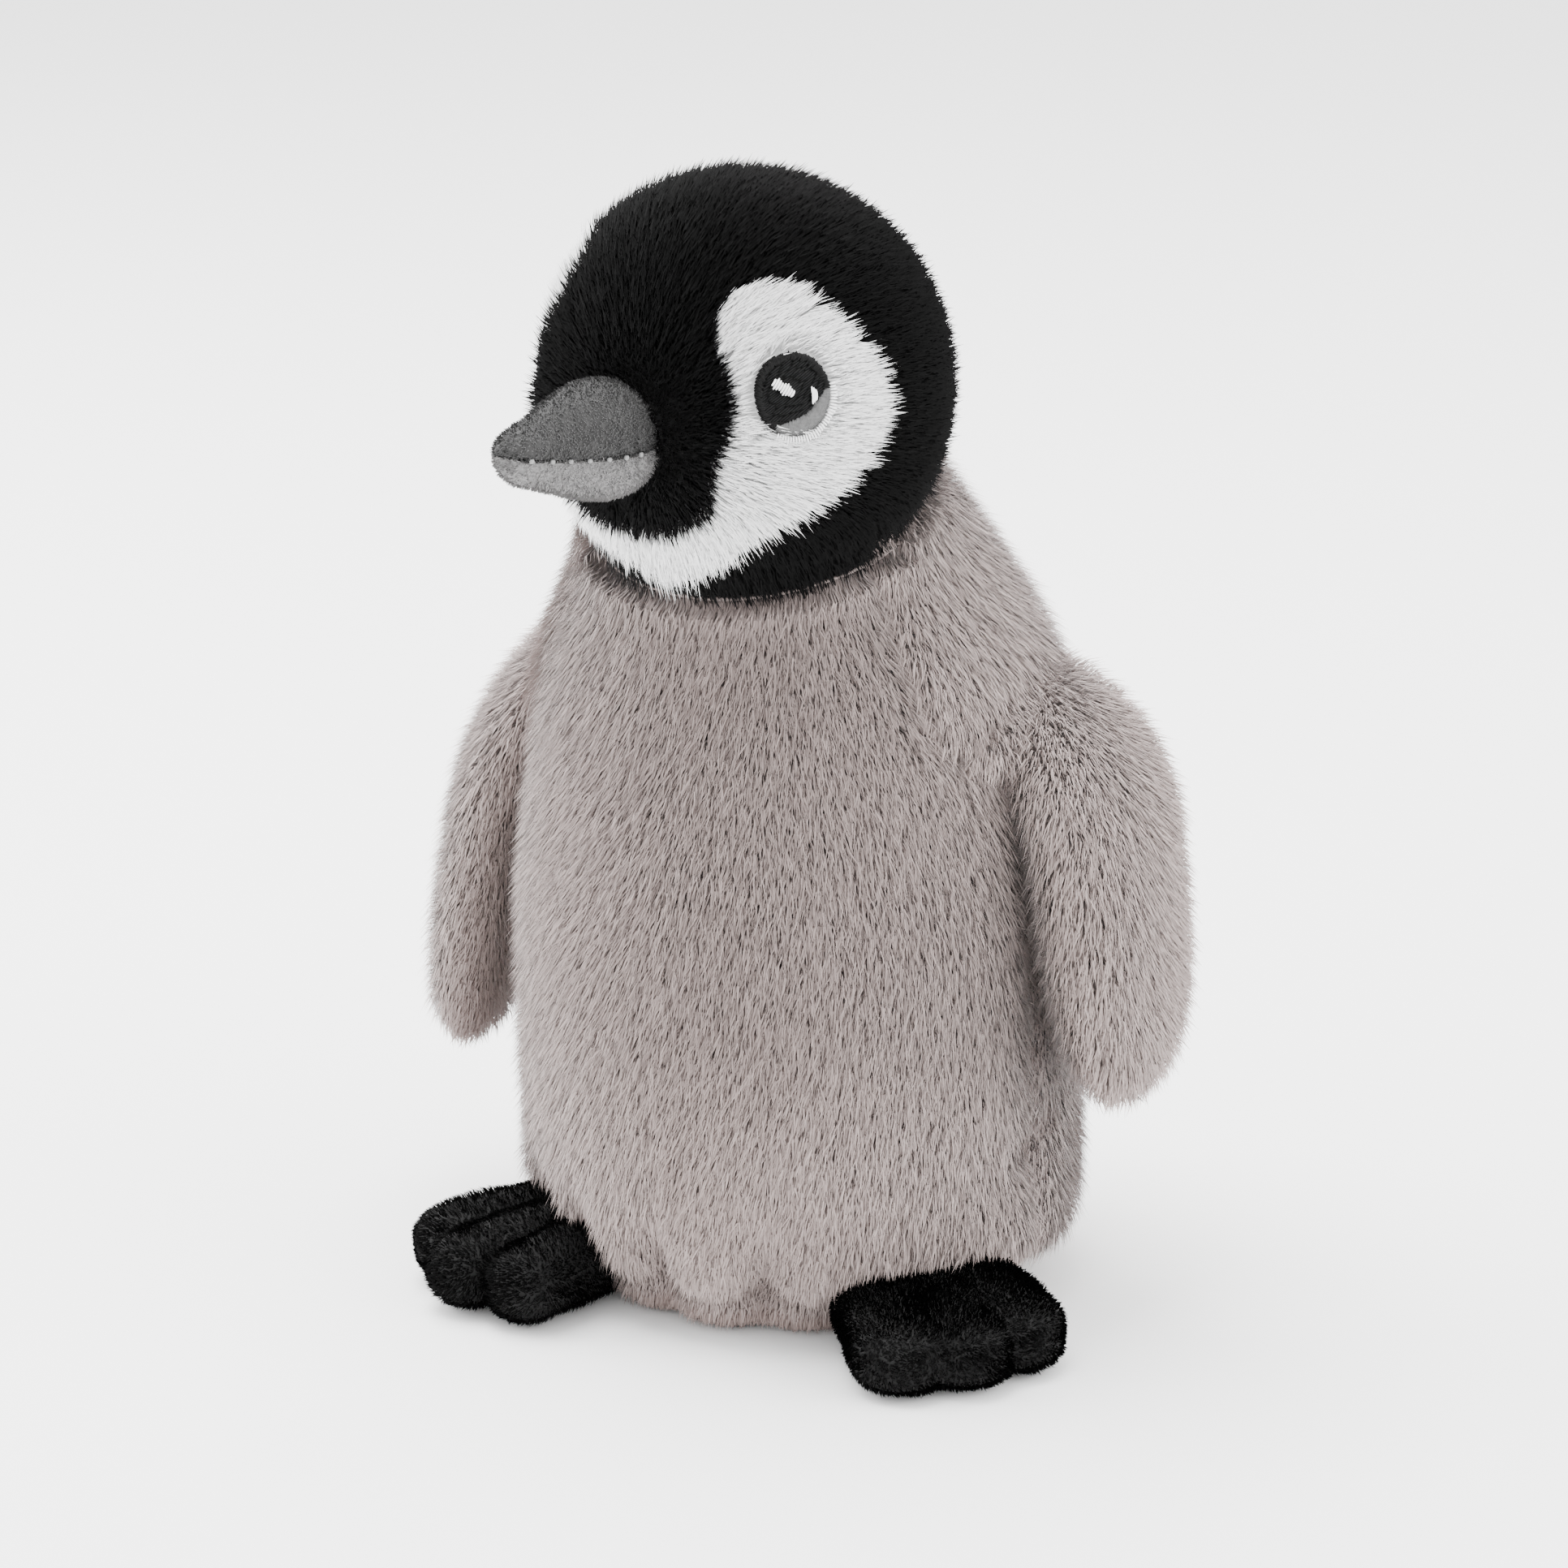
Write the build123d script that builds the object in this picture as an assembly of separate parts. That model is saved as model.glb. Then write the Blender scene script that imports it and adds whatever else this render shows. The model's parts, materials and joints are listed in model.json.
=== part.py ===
from build123d import *

import math
import os

# Plush penguin, 180 mm tall. Millimetres, +Z up, the face looks along -Y and the left side is +X.
# The origin is the middle of the flat underside.

# Heights and cloth
total_height = 180.0
pile_wall = 2.4          # long-pile cloth, backing and matted pile together
nap_wall = 1.2           # short-nap cloth of beak and feet
body_gap = 0.5           # free space between bodies that move on each other
thread_radius = 0.5
beyond = 100.0           # half size of the solids that only cut, larger than any piece

# Head: a ball that turns and nods in a cup on the torso
head_radius = 33.0
head_forward = 18.0      # how far the ball's centre stands in front of the origin
head_pitch = 4.0         # the face looks slightly down
head_yaw = -12.0         # and to the penguin's right
neck_tilt = 20.0         # the neck's axis leans forward
neck_depth = 19.0        # neck seam below the ball's centre, along the neck's axis
neck_rim = 1.5           # the torso's edge stands this far outside the ball at the neck seam
neck_lip = 6.0           # the edge runs on this far above the seam, before the cup trims it
neck_lip_in = 5.0        # and leans in by this much
neck_thread_rise = 1.5   # thread ring above the seam
neck_thread_out = 0.8    # and outside the torso's edge

# Torso: egg-shaped sections, wider at the back, each as
# height, front depth, back depth, half width, depth of the widest point behind the origin.
# Heights are drawn for a shoulder at drawn_shoulder and stretch with the real one.
shoulder_drop = 38.0     # shoulder below the ball's centre
drawn_shoulder = 109.0
shoulder_height = total_height - head_radius - shoulder_drop
stretch = shoulder_height / drawn_shoulder
shoulder_half = 42.5
flank_half = 43.2
waist_half = 45.5
torso_sections = [(stretch * height, *sizes) for height, *sizes in [
    (0.0, 30.0, 32.0, waist_half - 13.5, 4.0),
    (5.0, 37.0, 38.5, waist_half - 7.0, 6.0),
    (13.0, 41.5, 42.0, waist_half - 3.0, 7.0),
    (26.0, 44.5, 43.0, waist_half - 0.5, 7.0),
    (45.0, 46.0, 43.5, waist_half, 6.0),
    (66.0, 45.5, 42.0, waist_half - 1.0, 5.0),
    (84.0, 43.0, 38.5, flank_half, 6.0),
    (98.0, 40.0, 34.5, shoulder_half, 7.0),
    (109.0, 38.0, 31.0, shoulder_half - 4.0, 7.0),
]]
section_points = 16
# Belly seam seen from the side: depth, height. It runs up the flank and forward over the shoulder.
belly_seam = [(depth, stretch * height) for depth, height in [
    (-6.0, 84.0), (-10.0, 89.0), (-21.0, 96.0), (-24.0, 112.0), (-26.0, 140.0)]]

# Pellet bag in the base
pouch_radius = 27.0
pouch_height = 18.0
pouch_wall = 0.8
pouch_lift = 0.6         # above the base panel
pouch_depth = 3.0        # behind the origin
pellet_radius = 1.5
pellet_pitch = 5.5

# Closing seam at the back
closing_stitches = 10
closing_pitch = 4.0
closing_bottom = 18.0
closing_length = 5.0

# Wings: flat paddles hung on a root seam
wing_length = 68.0
wing_root_radius = 6.0
wing_root_drop = 13.0    # root seam below the shoulder
wing_root_depth = 4.0    # behind the origin
wing_root_slope = 12.0   # the root seam rises towards the back
wing_gap = 0.6
# Seen from the front: distance out from the waist's clear line, share of the length below the root
wing_outer_edge = [(15.7, 0.26), (18.7, 0.56), (16.9, 0.82), (10.9, 0.985)]
wing_inner_edge = [(5.5, 0.88), (0.0, 0.62)]
# Above that the inner edge follows the torso: share of the length, gap to the torso's side
wing_armpit = [(0.44, 1.2), (0.24, 1.75)]
# Seen from the side: depth from the root, share of the length above the root
wing_side_outline = [
    (-13.0, 0.12), (-13.0, -0.04), (-16.5, -0.37), (-16.8, -0.62), (-13.0, -0.86), (-4.0, -0.99),
    (5.0, -1.0), (12.5, -0.9), (17.5, -0.66), (17.5, -0.37), (13.5, 0.0), (13.5, 0.2)]

# Feet: three-toed pads at the lower front
foot_azimuth = {"left": 49.0, "right": 41.0}
foot_height = 11.0
foot_gap = 1.4           # root seam outside the torso
toe_radius = 6.3
toe_spread = 12.5
toe_root_share = 0.6     # the toes are this much closer together at the root
middle_toe_length = 24.0
side_toe_length = 18.0
foot_root_half = 14.0
sole_wall = 1.6
toe_seam_stitches = 5
toe_seam_pitch = 3.2
toe_seam_start = 4.0     # first stitch from the root
toe_seam_bar = 2.2
toe_seam_spread = (0.8, 1.0)     # share of the toe spread at the first and the last stitch

# Eye: an embroidered disc on the head, and its direction on the ball
eye_radius = 6.3
eye_rise = 0.9
eye_azimuth = 51.0
eye_elevation = 12.0
crescent_shift = 2.2
glint_rise = 0.4
glints = [(-1.6, 1.3, 1.7, 1.4), (3.0, 0.2, 0.55, 1.4)]   # side, up, half width, half height

# Beak: elliptical sections along the face's own forward axis, each as
# distance in front of the ball, height of the middle, half width, half height
beak_sections = [
    (-6.0, -0.8, 8.6, 8.6),
    (0.0, -0.4, 9.3, 9.2),
    (7.0, 0.8, 8.6, 8.8),
    (13.0, 0.7, 6.6, 6.6),
    (18.0, 0.9, 4.6, 4.2),
    (22.0, 1.7, 2.6, 2.2),
    (24.0, 2.1, 1.2, 1.0),
]
beak_seam_base = (-2.0, -1.5)    # distance in front of the ball, height
beak_seam_tip = (24.0, 2.1)
beak_least_fill = 0.5            # the filling ends where it would be thinner than this
beak_stitch_pitch = 3.4
beak_stitch_half = 1.1
beak_stitch_margin = 2.5         # from the ball to the first stitch, and from the last to the tip

# White face patch, flat outline seen along its own direction: side, up
patch_azimuth = 45.0
face_outline = [
    (-6.3, 10.0), (-6.0, 16.0), (-2.0, 20.5), (3.5, 21.6), (9.5, 19.2), (15.5, 13.4), (19.6, 6.5),
    (20.2, 0.5), (18.0, -4.5), (6.0, -13.0), (-12.0, -20.3), (-24.0, -24.5), (-27.0, -16.5),
    (-18.3, -12.9), (-10.5, -8.0), (-6.8, -1.0),
]
chin_top = -9.0          # chin panel lies below this height on the head
chin_back = 6.0          # and in front of this depth

head_centre = Vector(0, -head_forward, total_height - head_radius)
neck_wall_radius = math.sqrt(head_radius**2 - neck_depth**2) + neck_rim
neck_up = Vector(0, -math.sin(math.radians(neck_tilt)), math.cos(math.radians(neck_tilt)))
head_place = Location(head_centre) * Rot(0, 0, head_yaw) * Rot(head_pitch, 0, 0)
cup_radius = head_radius + body_gap
wing_hinge_x = flank_half + wing_gap + wing_root_radius
wing_root_height = shoulder_height - wing_root_drop
sides = {"left": 1, "right": -1}


def write(shape, node):
    """One STEP file per piece."""
    shape.label = node
    export_step(shape, "parts/" + node + ".step")


def mirrored(shape, side):
    """The left-hand shape, or its mirror image on the right."""
    return shape if side == "left" else mirror(shape, about=Plane.YZ)


def direction(azimuth, elevation):
    """Unit vector in the head's own frame; azimuth 0 is the face's forward axis."""
    a, e = math.radians(azimuth), math.radians(elevation)
    return Vector(math.sin(a) * math.cos(e), -math.cos(a) * math.cos(e), math.sin(e))


def slab(low, high):
    """Everything between two heights."""
    return Pos(0, 0, (low + high) / 2) * Box(2 * beyond, 2 * beyond, high - low)


def beside(sign):
    """Everything on one side of the middle plane."""
    return Pos(sign * beyond, 0, 0) * Box(2 * beyond, 4 * beyond, 6 * beyond)


def facing_plane(azimuth, elevation):
    """Plane through the ball's centre that looks out along a direction, its x to the left side."""
    out = direction(azimuth, elevation)
    return Plane(origin=(0, 0, 0), x_dir=direction(azimuth + 90, 0), z_dir=out)


# ---------------------------------------------------------------- torso

def torso_section(height, front, back, half, widest, inset=0.0):
    """Egg-shaped closed section."""
    points = []
    for k in range(section_points):
        angle = 2 * math.pi * k / section_points
        reach = (widest + front if math.cos(angle) > 0 else back - widest) - inset
        points.append((
            (half - inset) * math.sin(angle), widest - reach * math.cos(angle), height))
    return Face(Wire(Spline(*points, periodic=True)))


def neck_section(depth, radius):
    """Round section across the neck's axis, a depth below the ball's centre."""
    plane = Plane(origin=head_centre - neck_up * depth, x_dir=(1, 0, 0), z_dir=neck_up)
    points = []
    for k in range(section_points):
        angle = 2 * math.pi * k / section_points
        points.append(plane.from_local_coords(Vector(
            radius * math.sin(angle), -radius * math.cos(angle), 0)))
    return Face(Wire(Spline(*points, periodic=True)))


def torso_solid(inset):
    """The lofted torso, cut by the cup that the head sits in."""
    sections = [torso_section(*row, inset=inset) for row in torso_sections]
    sections.append(neck_section(neck_depth, neck_wall_radius - inset))
    sections.append(neck_section(neck_depth - neck_lip, neck_wall_radius - neck_lip_in - inset))
    return loft(sections) - Pos(head_centre) * Sphere(cup_radius)


def torso_at(height):
    """The torso's section sizes at a height, read off in straight lines."""
    for low, high in zip(torso_sections, torso_sections[1:]):
        if height <= high[0]:
            share = (height - low[0]) / (high[0] - low[0])
            return [a + share * (b - a) for a, b in zip(low, high)]
    return torso_sections[-1]


def torso_reach(azimuth, height):
    """Distance from the origin to the torso's side, at an azimuth from the front and a height."""
    _, front, _, half, widest = torso_at(height)
    reach = widest + front
    s, c = math.sin(math.radians(azimuth)), math.cos(math.radians(azimuth))
    square = (s / half) ** 2 + (c / reach) ** 2
    linear = 2 * c * widest / reach**2
    rest = (widest / reach) ** 2 - 1
    return (math.sqrt(linear**2 - 4 * square * rest) - linear) / (2 * square)


def belly_side():
    """Everything in front of the belly seam, as one prism across the body."""
    outline = [(-beyond, -beyond), (belly_seam[0][0], -beyond)] + belly_seam
    outline.append((-beyond, belly_seam[-1][1]))
    face = make_face(Polyline([(0, y, z) for y, z in outline], close=True))
    return extrude(face, amount=beyond, dir=(1, 0, 0), both=True)


def make_torso():
    outer = torso_solid(0.0)
    bottom = slab(-beyond, pile_wall)
    inner = torso_solid(pile_wall) - bottom
    shell = outer - inner
    wall = shell - bottom
    front = belly_side()
    write(shell & bottom, "base_panel")
    write(wall & front, "belly_panel")
    back = wall - front
    for side, sign in sides.items():
        write(back & beside(sign), "side_panel_" + side)

    middle = Vector(0, pouch_depth, pile_wall + pouch_lift + pouch_height / 2)
    pouch_outer = flat_ball(middle, pouch_radius, pouch_height / 2)
    hold_radius, hold_half = pouch_radius - pouch_wall, pouch_height / 2 - pouch_wall
    write(inner - pouch_outer, "torso_stuffing")
    write(pouch_outer - flat_ball(middle, hold_radius, hold_half), "pellet_pouch")
    make_pellets(middle, hold_radius, hold_half)
    make_closing_seam(outer)


def flat_ball(middle, radius, half_height):
    return Location(middle) * scale(Sphere(radius), by=(1, 1, half_height / radius))


def make_pellets(middle, radius, half_height):
    """Loose pellets in even layers, where the bag leaves them room."""
    pellets = []
    layers = int((half_height - pellet_radius) // pellet_pitch)
    reach = int(radius // pellet_pitch)
    room_radius, room_height = radius - 2 * pellet_radius, half_height - 1.2 * pellet_radius
    for layer in range(-layers, layers + 1):
        for i in range(-reach, reach + 1):
            for j in range(-reach, reach + 1):
                x, y, z = i * pellet_pitch, j * pellet_pitch, layer * pellet_pitch
                if math.hypot(math.hypot(x, y) / room_radius, z / room_height) < 1:
                    pellets.append(Location(middle + Vector(x, y, z)) * Sphere(pellet_radius))
    write(Compound(pellets), "pellets")


def make_closing_seam(outer):
    """Ladder stitches across the back seam, lying on the cloth."""
    stitches = []
    bar = Cylinder(thread_radius, closing_length, rotation=(0, 90, 0))
    for k in range(closing_stitches):
        height = closing_bottom + k * closing_pitch
        crossings = outer.find_intersection_points(Axis((0, 0, height), (0, 1, 0)))
        surface = max(point.Y for point, _ in crossings)
        stitches.append(Pos(0, surface, height) * bar - outer)
    write(Compound(stitches), "closing_seam")


# ---------------------------------------------------------------- neck and head

def make_neck_thread():
    """Thread ring in the groove between head and torso."""
    plane = Plane(
        origin=head_centre - neck_up * (neck_depth - neck_thread_rise), x_dir=(1, 0, 0), z_dir=neck_up)
    write(plane.location * Torus(neck_wall_radius + neck_thread_out, thread_radius), "neck_thread")


def patch_prism():
    """Left face patch as a prism out of the ball, in the head's own frame."""
    plane = facing_plane(patch_azimuth, 0)
    points = [plane.from_local_coords(Vector(side, up, 0)) for side, up in face_outline]
    face = make_face(Spline(*points, periodic=True))
    return extrude(face, amount=beyond, dir=plane.z_dir)


def make_head():
    ball = Sphere(head_radius)
    stuffing = Sphere(head_radius - pile_wall)
    skin = (ball - stuffing) & beside(1)
    prism = patch_prism()
    patch = skin & prism
    rest = skin - prism
    chin_box = Pos(0, chin_back - beyond, chin_top - beyond) * Box(2 * beyond, 2 * beyond, 2 * beyond)
    chin = (rest & chin_box).solids().sort_by(Axis.Z)[0]
    pieces = {"face_patch_": patch, "chin_panel_": chin, "head_panel_": rest - chin}
    for prefix, piece in pieces.items():
        for side in sides:
            write(head_place * mirrored(piece, side), prefix + side)
    write(head_place * stuffing, "head_stuffing")


def make_eyes():
    """Embroidery that stands slightly proud of the face patch."""
    plane = facing_plane(eye_azimuth, eye_elevation)
    layer = Sphere(head_radius + eye_rise) - Sphere(head_radius)
    top_layer = Sphere(head_radius + eye_rise + glint_rise) - Sphere(head_radius + eye_rise)

    def column(side, up, half_width, half_height):
        face = Pos(side, up, 0) * Ellipse(half_width, half_height)
        return extrude(plane * face, amount=beyond, dir=plane.z_dir)

    whole = column(0, 0, eye_radius, eye_radius)
    shift = crescent_shift / math.sqrt(2)
    inside = column(-shift, shift, eye_radius, eye_radius)
    pieces = {
        "eye_pupil_": layer & (whole & inside), "eye_crescent_": layer & (whole - inside),
        "eye_glints_": Compound([top_layer & column(*glint) for glint in glints])}
    for prefix, piece in pieces.items():
        for side in sides:
            write(head_place * mirrored(piece, side), prefix + side)


def beak_solid(inset):
    sections = []
    for distance, middle, half_width, half_height in beak_sections:
        if min(half_width, half_height) > inset + beak_least_fill:
            plane = Plane(
                origin=(0, -head_radius - distance, middle), x_dir=(1, 0, 0), z_dir=(0, -1, 0))
            sections.append(plane * Ellipse(half_width - inset, half_height - inset))
    return loft(sections) - Sphere(head_radius)


def beak_station(distance, column):
    """A column of the beak's table at a distance, read off in straight lines."""
    for near, far in zip(beak_sections, beak_sections[1:]):
        if near[0] <= distance <= far[0]:
            share = (distance - near[0]) / (far[0] - near[0])
            return near[column] + share * (far[column] - near[column])
    return beak_sections[-1][column]


def make_beak():
    outer = beak_solid(0.0)
    stuffing = beak_solid(nap_wall)
    skin = outer - stuffing
    near, far = beak_seam_base, beak_seam_tip
    slope = (far[1] - near[1]) / (far[0] - near[0])
    low, high = (near[1] + slope * (depth - near[0]) for depth in (-head_radius, beyond - head_radius))
    wedge = make_face(Polyline(
        [(0, 0, low), (0, -beyond, high), (0, -beyond, beyond), (0, 0, beyond)], close=True))
    above = extrude(wedge, amount=beyond, dir=(1, 0, 0), both=True)
    write(head_place * (skin & above), "beak_upper")
    write(head_place * (skin - above), "beak_lower")
    write(head_place * stuffing, "beak_stuffing")

    stitches = []
    bar = Cylinder(thread_radius, 2 * beak_stitch_half)
    count = int((far[0] - 2 * beak_stitch_margin) / beak_stitch_pitch)
    for k in range(count):
        distance = beak_stitch_margin + k * beak_stitch_pitch
        height = near[1] + slope * (distance - near[0])
        for sign in (1, -1):
            middle = beak_station(distance, 1)
            share = math.sqrt(max(0.0, 1 - ((height - middle) / beak_station(distance, 3)) ** 2))
            side = sign * beak_station(distance, 2) * share
            stitches.append(Pos(side, -head_radius - distance, height) * bar - outer)
    write(head_place * Compound(stitches), "beak_seam")


# ---------------------------------------------------------------- wings

def wing_solid():
    """Left wing: a side profile along the root seam, met by a front outline across it."""
    root = Vector(wing_hinge_x, wing_root_depth, wing_root_height)
    slope = math.radians(wing_root_slope)
    along = Vector(0, math.cos(slope), math.sin(slope))
    r = wing_root_radius
    clear = waist_half + wing_gap - wing_hinge_x
    below = [(clear + out, share * wing_length) for out, share in wing_outer_edge + wing_inner_edge]
    for share, gap in wing_armpit:
        half = torso_at(wing_root_height - share * wing_length)[3]
        below.append((half + gap - wing_hinge_x, share * wing_length))
    profile_plane = Plane(origin=root, x_dir=(1, 0, 0), z_dir=along)
    profile = make_face([
        ThreePointArc((-r, 0), (0, -r), (r, 0)),
        Spline((r, 0), *below, (-r, 0), tangents=[(0, 1), (0, -1)])])
    solid = extrude(profile_plane * profile, amount=beyond, dir=along, both=True)

    points = [root + Vector(0, depth, share * wing_length) for depth, share in wing_side_outline]
    front = make_face([Spline(*points), Line(points[-1], points[0])])
    return solid & extrude(front, amount=beyond, dir=(1, 0, 0), both=True)


def make_wings():
    wing = wing_solid()
    middle = wing.center()
    size = wing.bounding_box().size
    shrink = tuple(1 - 2 * pile_wall / v for v in (size.X, size.Y, size.Z))
    fill = scale(wing, by=shrink, about=middle)
    skin = wing - fill
    lean = Plane(origin=middle, x_dir=(0, 1, 0), z_dir=(1, 0, -wing_root_radius / wing_length))
    outer_half = extrude(lean * Rectangle(2 * beyond, 2 * beyond), amount=beyond)
    for side in sides:
        write(mirrored(skin & outer_half, side), "wing_outer_" + side)
        write(mirrored(skin - outer_half, side), "wing_inner_" + side)
        write(mirrored(fill, side), "wing_stuffing_" + side)


# ---------------------------------------------------------------- feet

def foot_outline(root_reach):
    """Plan of a foot that points along +X from the origin: three toes on one root."""
    sketch = Sketch()
    for spread, length in ((-1, side_toe_length), (0, middle_toe_length), (1, side_toe_length)):
        tip = (root_reach + length - toe_radius, spread * toe_spread)
        root = (root_reach + toe_radius, toe_root_share * spread * toe_spread)
        toe = make_hull([*(Pos(*tip) * Circle(toe_radius)).edges(),
                         *(Pos(*root) * Circle(toe_radius)).edges()])
        sketch += toe
    heel = Pos(root_reach + toe_radius / 2, 0) * Rectangle(toe_radius, 2 * foot_root_half)
    return sketch + heel


def toe_seams(root_reach):
    """Two rows of stitches on top of a foot, between its toes."""
    stitches = []
    bar = Cylinder(thread_radius, toe_seam_bar, rotation=(0, 90, 0))
    first, last = toe_seam_spread
    for between in (-0.5, 0.5):
        for k in range(toe_seam_stitches):
            reach = root_reach + toe_seam_start + k * toe_seam_pitch
            share = first + (last - first) * k / (toe_seam_stitches - 1)
            stitch = Pos(reach, between * toe_spread * share, foot_height) * bar
            stitches.append(stitch - slab(-beyond, foot_height))
    return Compound(stitches)


def make_feet():
    bottom = slab(-beyond, sole_wall)
    for side, sign in sides.items():
        root_reach = torso_reach(foot_azimuth[side], foot_height) + foot_gap
        foot = extrude(foot_outline(root_reach), amount=foot_height)
        above = foot - bottom
        size = above.bounding_box().size
        shrink = tuple(1 - 2 * nap_wall / v for v in (size.X, size.Y, size.Z))
        fill = scale(above, by=shrink, about=above.center())
        turn = Rot(0, 0, -90 + sign * foot_azimuth[side])
        write(turn * (foot & bottom), "foot_sole_" + side)
        write(turn * (above - fill), "foot_upper_" + side)
        write(turn * fill, "foot_stuffing_" + side)
        write(turn * toe_seams(root_reach), "toe_stitches_" + side)


os.makedirs("parts", exist_ok=True)
make_torso()
make_neck_thread()
make_head()
make_eyes()
make_beak()
make_wings()
make_feet()
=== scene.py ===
import json
import math
import random

import bmesh
import bpy
import numpy as np
from mathutils import Matrix, Vector
from mathutils.bvhtree import BVHTree


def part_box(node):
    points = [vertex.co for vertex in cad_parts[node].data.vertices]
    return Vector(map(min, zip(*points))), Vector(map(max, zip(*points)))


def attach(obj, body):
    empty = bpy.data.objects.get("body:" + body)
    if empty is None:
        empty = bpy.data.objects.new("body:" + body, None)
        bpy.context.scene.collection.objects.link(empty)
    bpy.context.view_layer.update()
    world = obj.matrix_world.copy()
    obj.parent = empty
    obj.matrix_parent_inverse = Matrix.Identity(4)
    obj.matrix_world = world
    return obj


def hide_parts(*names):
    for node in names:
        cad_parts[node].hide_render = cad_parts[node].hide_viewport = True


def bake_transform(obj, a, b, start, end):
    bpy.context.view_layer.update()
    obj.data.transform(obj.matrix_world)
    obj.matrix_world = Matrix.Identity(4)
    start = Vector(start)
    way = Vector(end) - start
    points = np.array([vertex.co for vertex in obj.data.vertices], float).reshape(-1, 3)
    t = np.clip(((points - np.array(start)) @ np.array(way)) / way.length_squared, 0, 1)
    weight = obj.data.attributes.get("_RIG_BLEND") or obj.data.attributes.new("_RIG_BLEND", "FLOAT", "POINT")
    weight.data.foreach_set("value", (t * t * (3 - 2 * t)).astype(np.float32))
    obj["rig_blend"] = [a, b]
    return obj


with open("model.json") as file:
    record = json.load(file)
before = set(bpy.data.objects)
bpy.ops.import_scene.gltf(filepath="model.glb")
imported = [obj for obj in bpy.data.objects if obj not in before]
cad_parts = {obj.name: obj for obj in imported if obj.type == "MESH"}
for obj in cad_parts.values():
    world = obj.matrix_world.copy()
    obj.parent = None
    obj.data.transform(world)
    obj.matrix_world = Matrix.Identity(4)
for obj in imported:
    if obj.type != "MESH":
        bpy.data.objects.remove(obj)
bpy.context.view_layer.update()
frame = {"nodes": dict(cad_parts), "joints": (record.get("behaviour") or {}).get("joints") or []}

MM = 0.001
nodes = frame["nodes"]
joints = {joint["name"]: joint for joint in frame["joints"]}
SIDES = {"left": 1, "right": -1}

# Pile of each cloth: strand length and width in millimetres, how far it leans and rises as shares of
# its length, strands to the square millimetre, tuft spacing in millimetres, pull into tufts, straying
PILE_FIELDS = ("length", "width", "lean", "rise", "per_mm2", "clump", "gather", "stray")
BODY_PILE = dict(zip(PILE_FIELDS, (5.6, 0.26, 0.52, 0.68, 9.0, 1.7, 0.34, 0.34)))
HEAD_PILE = dict(zip(PILE_FIELDS, (4.6, 0.25, 0.56, 0.72, 9.6, 1.5, 0.30, 0.30)))
FACE_PILE = dict(zip(PILE_FIELDS, (4.6, 0.20, 0.60, 0.60, 12.0, 1.4, 0.4, 0.24)))
FOOT_PILE = dict(zip(PILE_FIELDS, (1.3, 0.21, 0.60, 0.70, 10.0, 1.6, 0.4, 0.60)))
BEAK_PILE = dict(zip(PILE_FIELDS, (0.75, 0.16, 0.60, 0.75, 10.0, 1.5, 0.3, 0.70)))
PILE_DEPTH = 3.4 * MM       # how far a long-pile skin lies under the CAD surface
LOWEST_STRAND = 0.1 * MM    # strands are pressed flat just above the floor


# ------------------------------------------------------------------ helpers

def mesh_object(name, points, faces, smooth=True):
    mesh = bpy.data.meshes.new(name)
    mesh.from_pydata([tuple(p) for p in points], [], [tuple(f) for f in faces])
    mesh.update()
    if smooth:
        mesh.polygons.foreach_set("use_smooth", [True] * len(mesh.polygons))
    return new_object(name, mesh)


def places(piece):
    found = np.empty(len(piece.data.vertices) * 3)
    piece.data.vertices.foreach_get("co", found)
    return found.reshape(-1, 3)


def set_places(piece, found):
    piece.data.vertices.foreach_set("co", np.asarray(found, float).ravel())
    piece.data.update()


def outward(piece):
    found = np.empty(len(piece.data.vertices) * 3)
    piece.data.vertex_normals.foreach_get("vector", found)
    return found.reshape(-1, 3)


def unit(rows):
    return rows / np.maximum(np.linalg.norm(rows, axis=-1, keepdims=True), 1e-12)


def flat_to(rows, normals):
    """The part of each row that lies in the surface."""
    return unit(rows - normals * (rows * normals).sum(1, keepdims=True))


def step(value, low, high):
    t = np.clip((np.asarray(value, float) - low) / (high - low), 0, 1)
    return t * t * (3 - 2 * t)


def hump(value, middle, half):
    """One at the middle, falling smoothly to nothing at about twice the half width."""
    return np.exp(-((value - middle) / half) ** 2)


def new_object(name, mesh):
    piece = bpy.data.objects.new(name, mesh)
    bpy.context.scene.collection.objects.link(piece)
    return piece


def write_attribute(piece, name, values, kind="FLOAT"):
    attribute = piece.data.attributes.new(name, kind, "POINT")
    field = "vector" if kind == "FLOAT_VECTOR" else "value"
    attribute.data.foreach_set(field, np.asarray(values, np.float32).ravel())


def fix_normals(piece):
    bm = bmesh.new()
    bm.from_mesh(piece.data)
    bmesh.ops.remove_doubles(bm, verts=bm.verts, dist=1e-6)
    bmesh.ops.recalc_face_normals(bm, faces=bm.faces)
    bm.to_mesh(piece.data)
    bm.free()


def tree_of(*names):
    """A search tree over CAD nodes."""
    points, faces = [], []
    for name in names:
        start = len(points)
        points += [v.co.copy() for v in nodes[name].data.vertices]
        faces += [[start + i for i in p.vertices] for p in nodes[name].data.polygons]
    return BVHTree.FromPolygons(points, faces)


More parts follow.
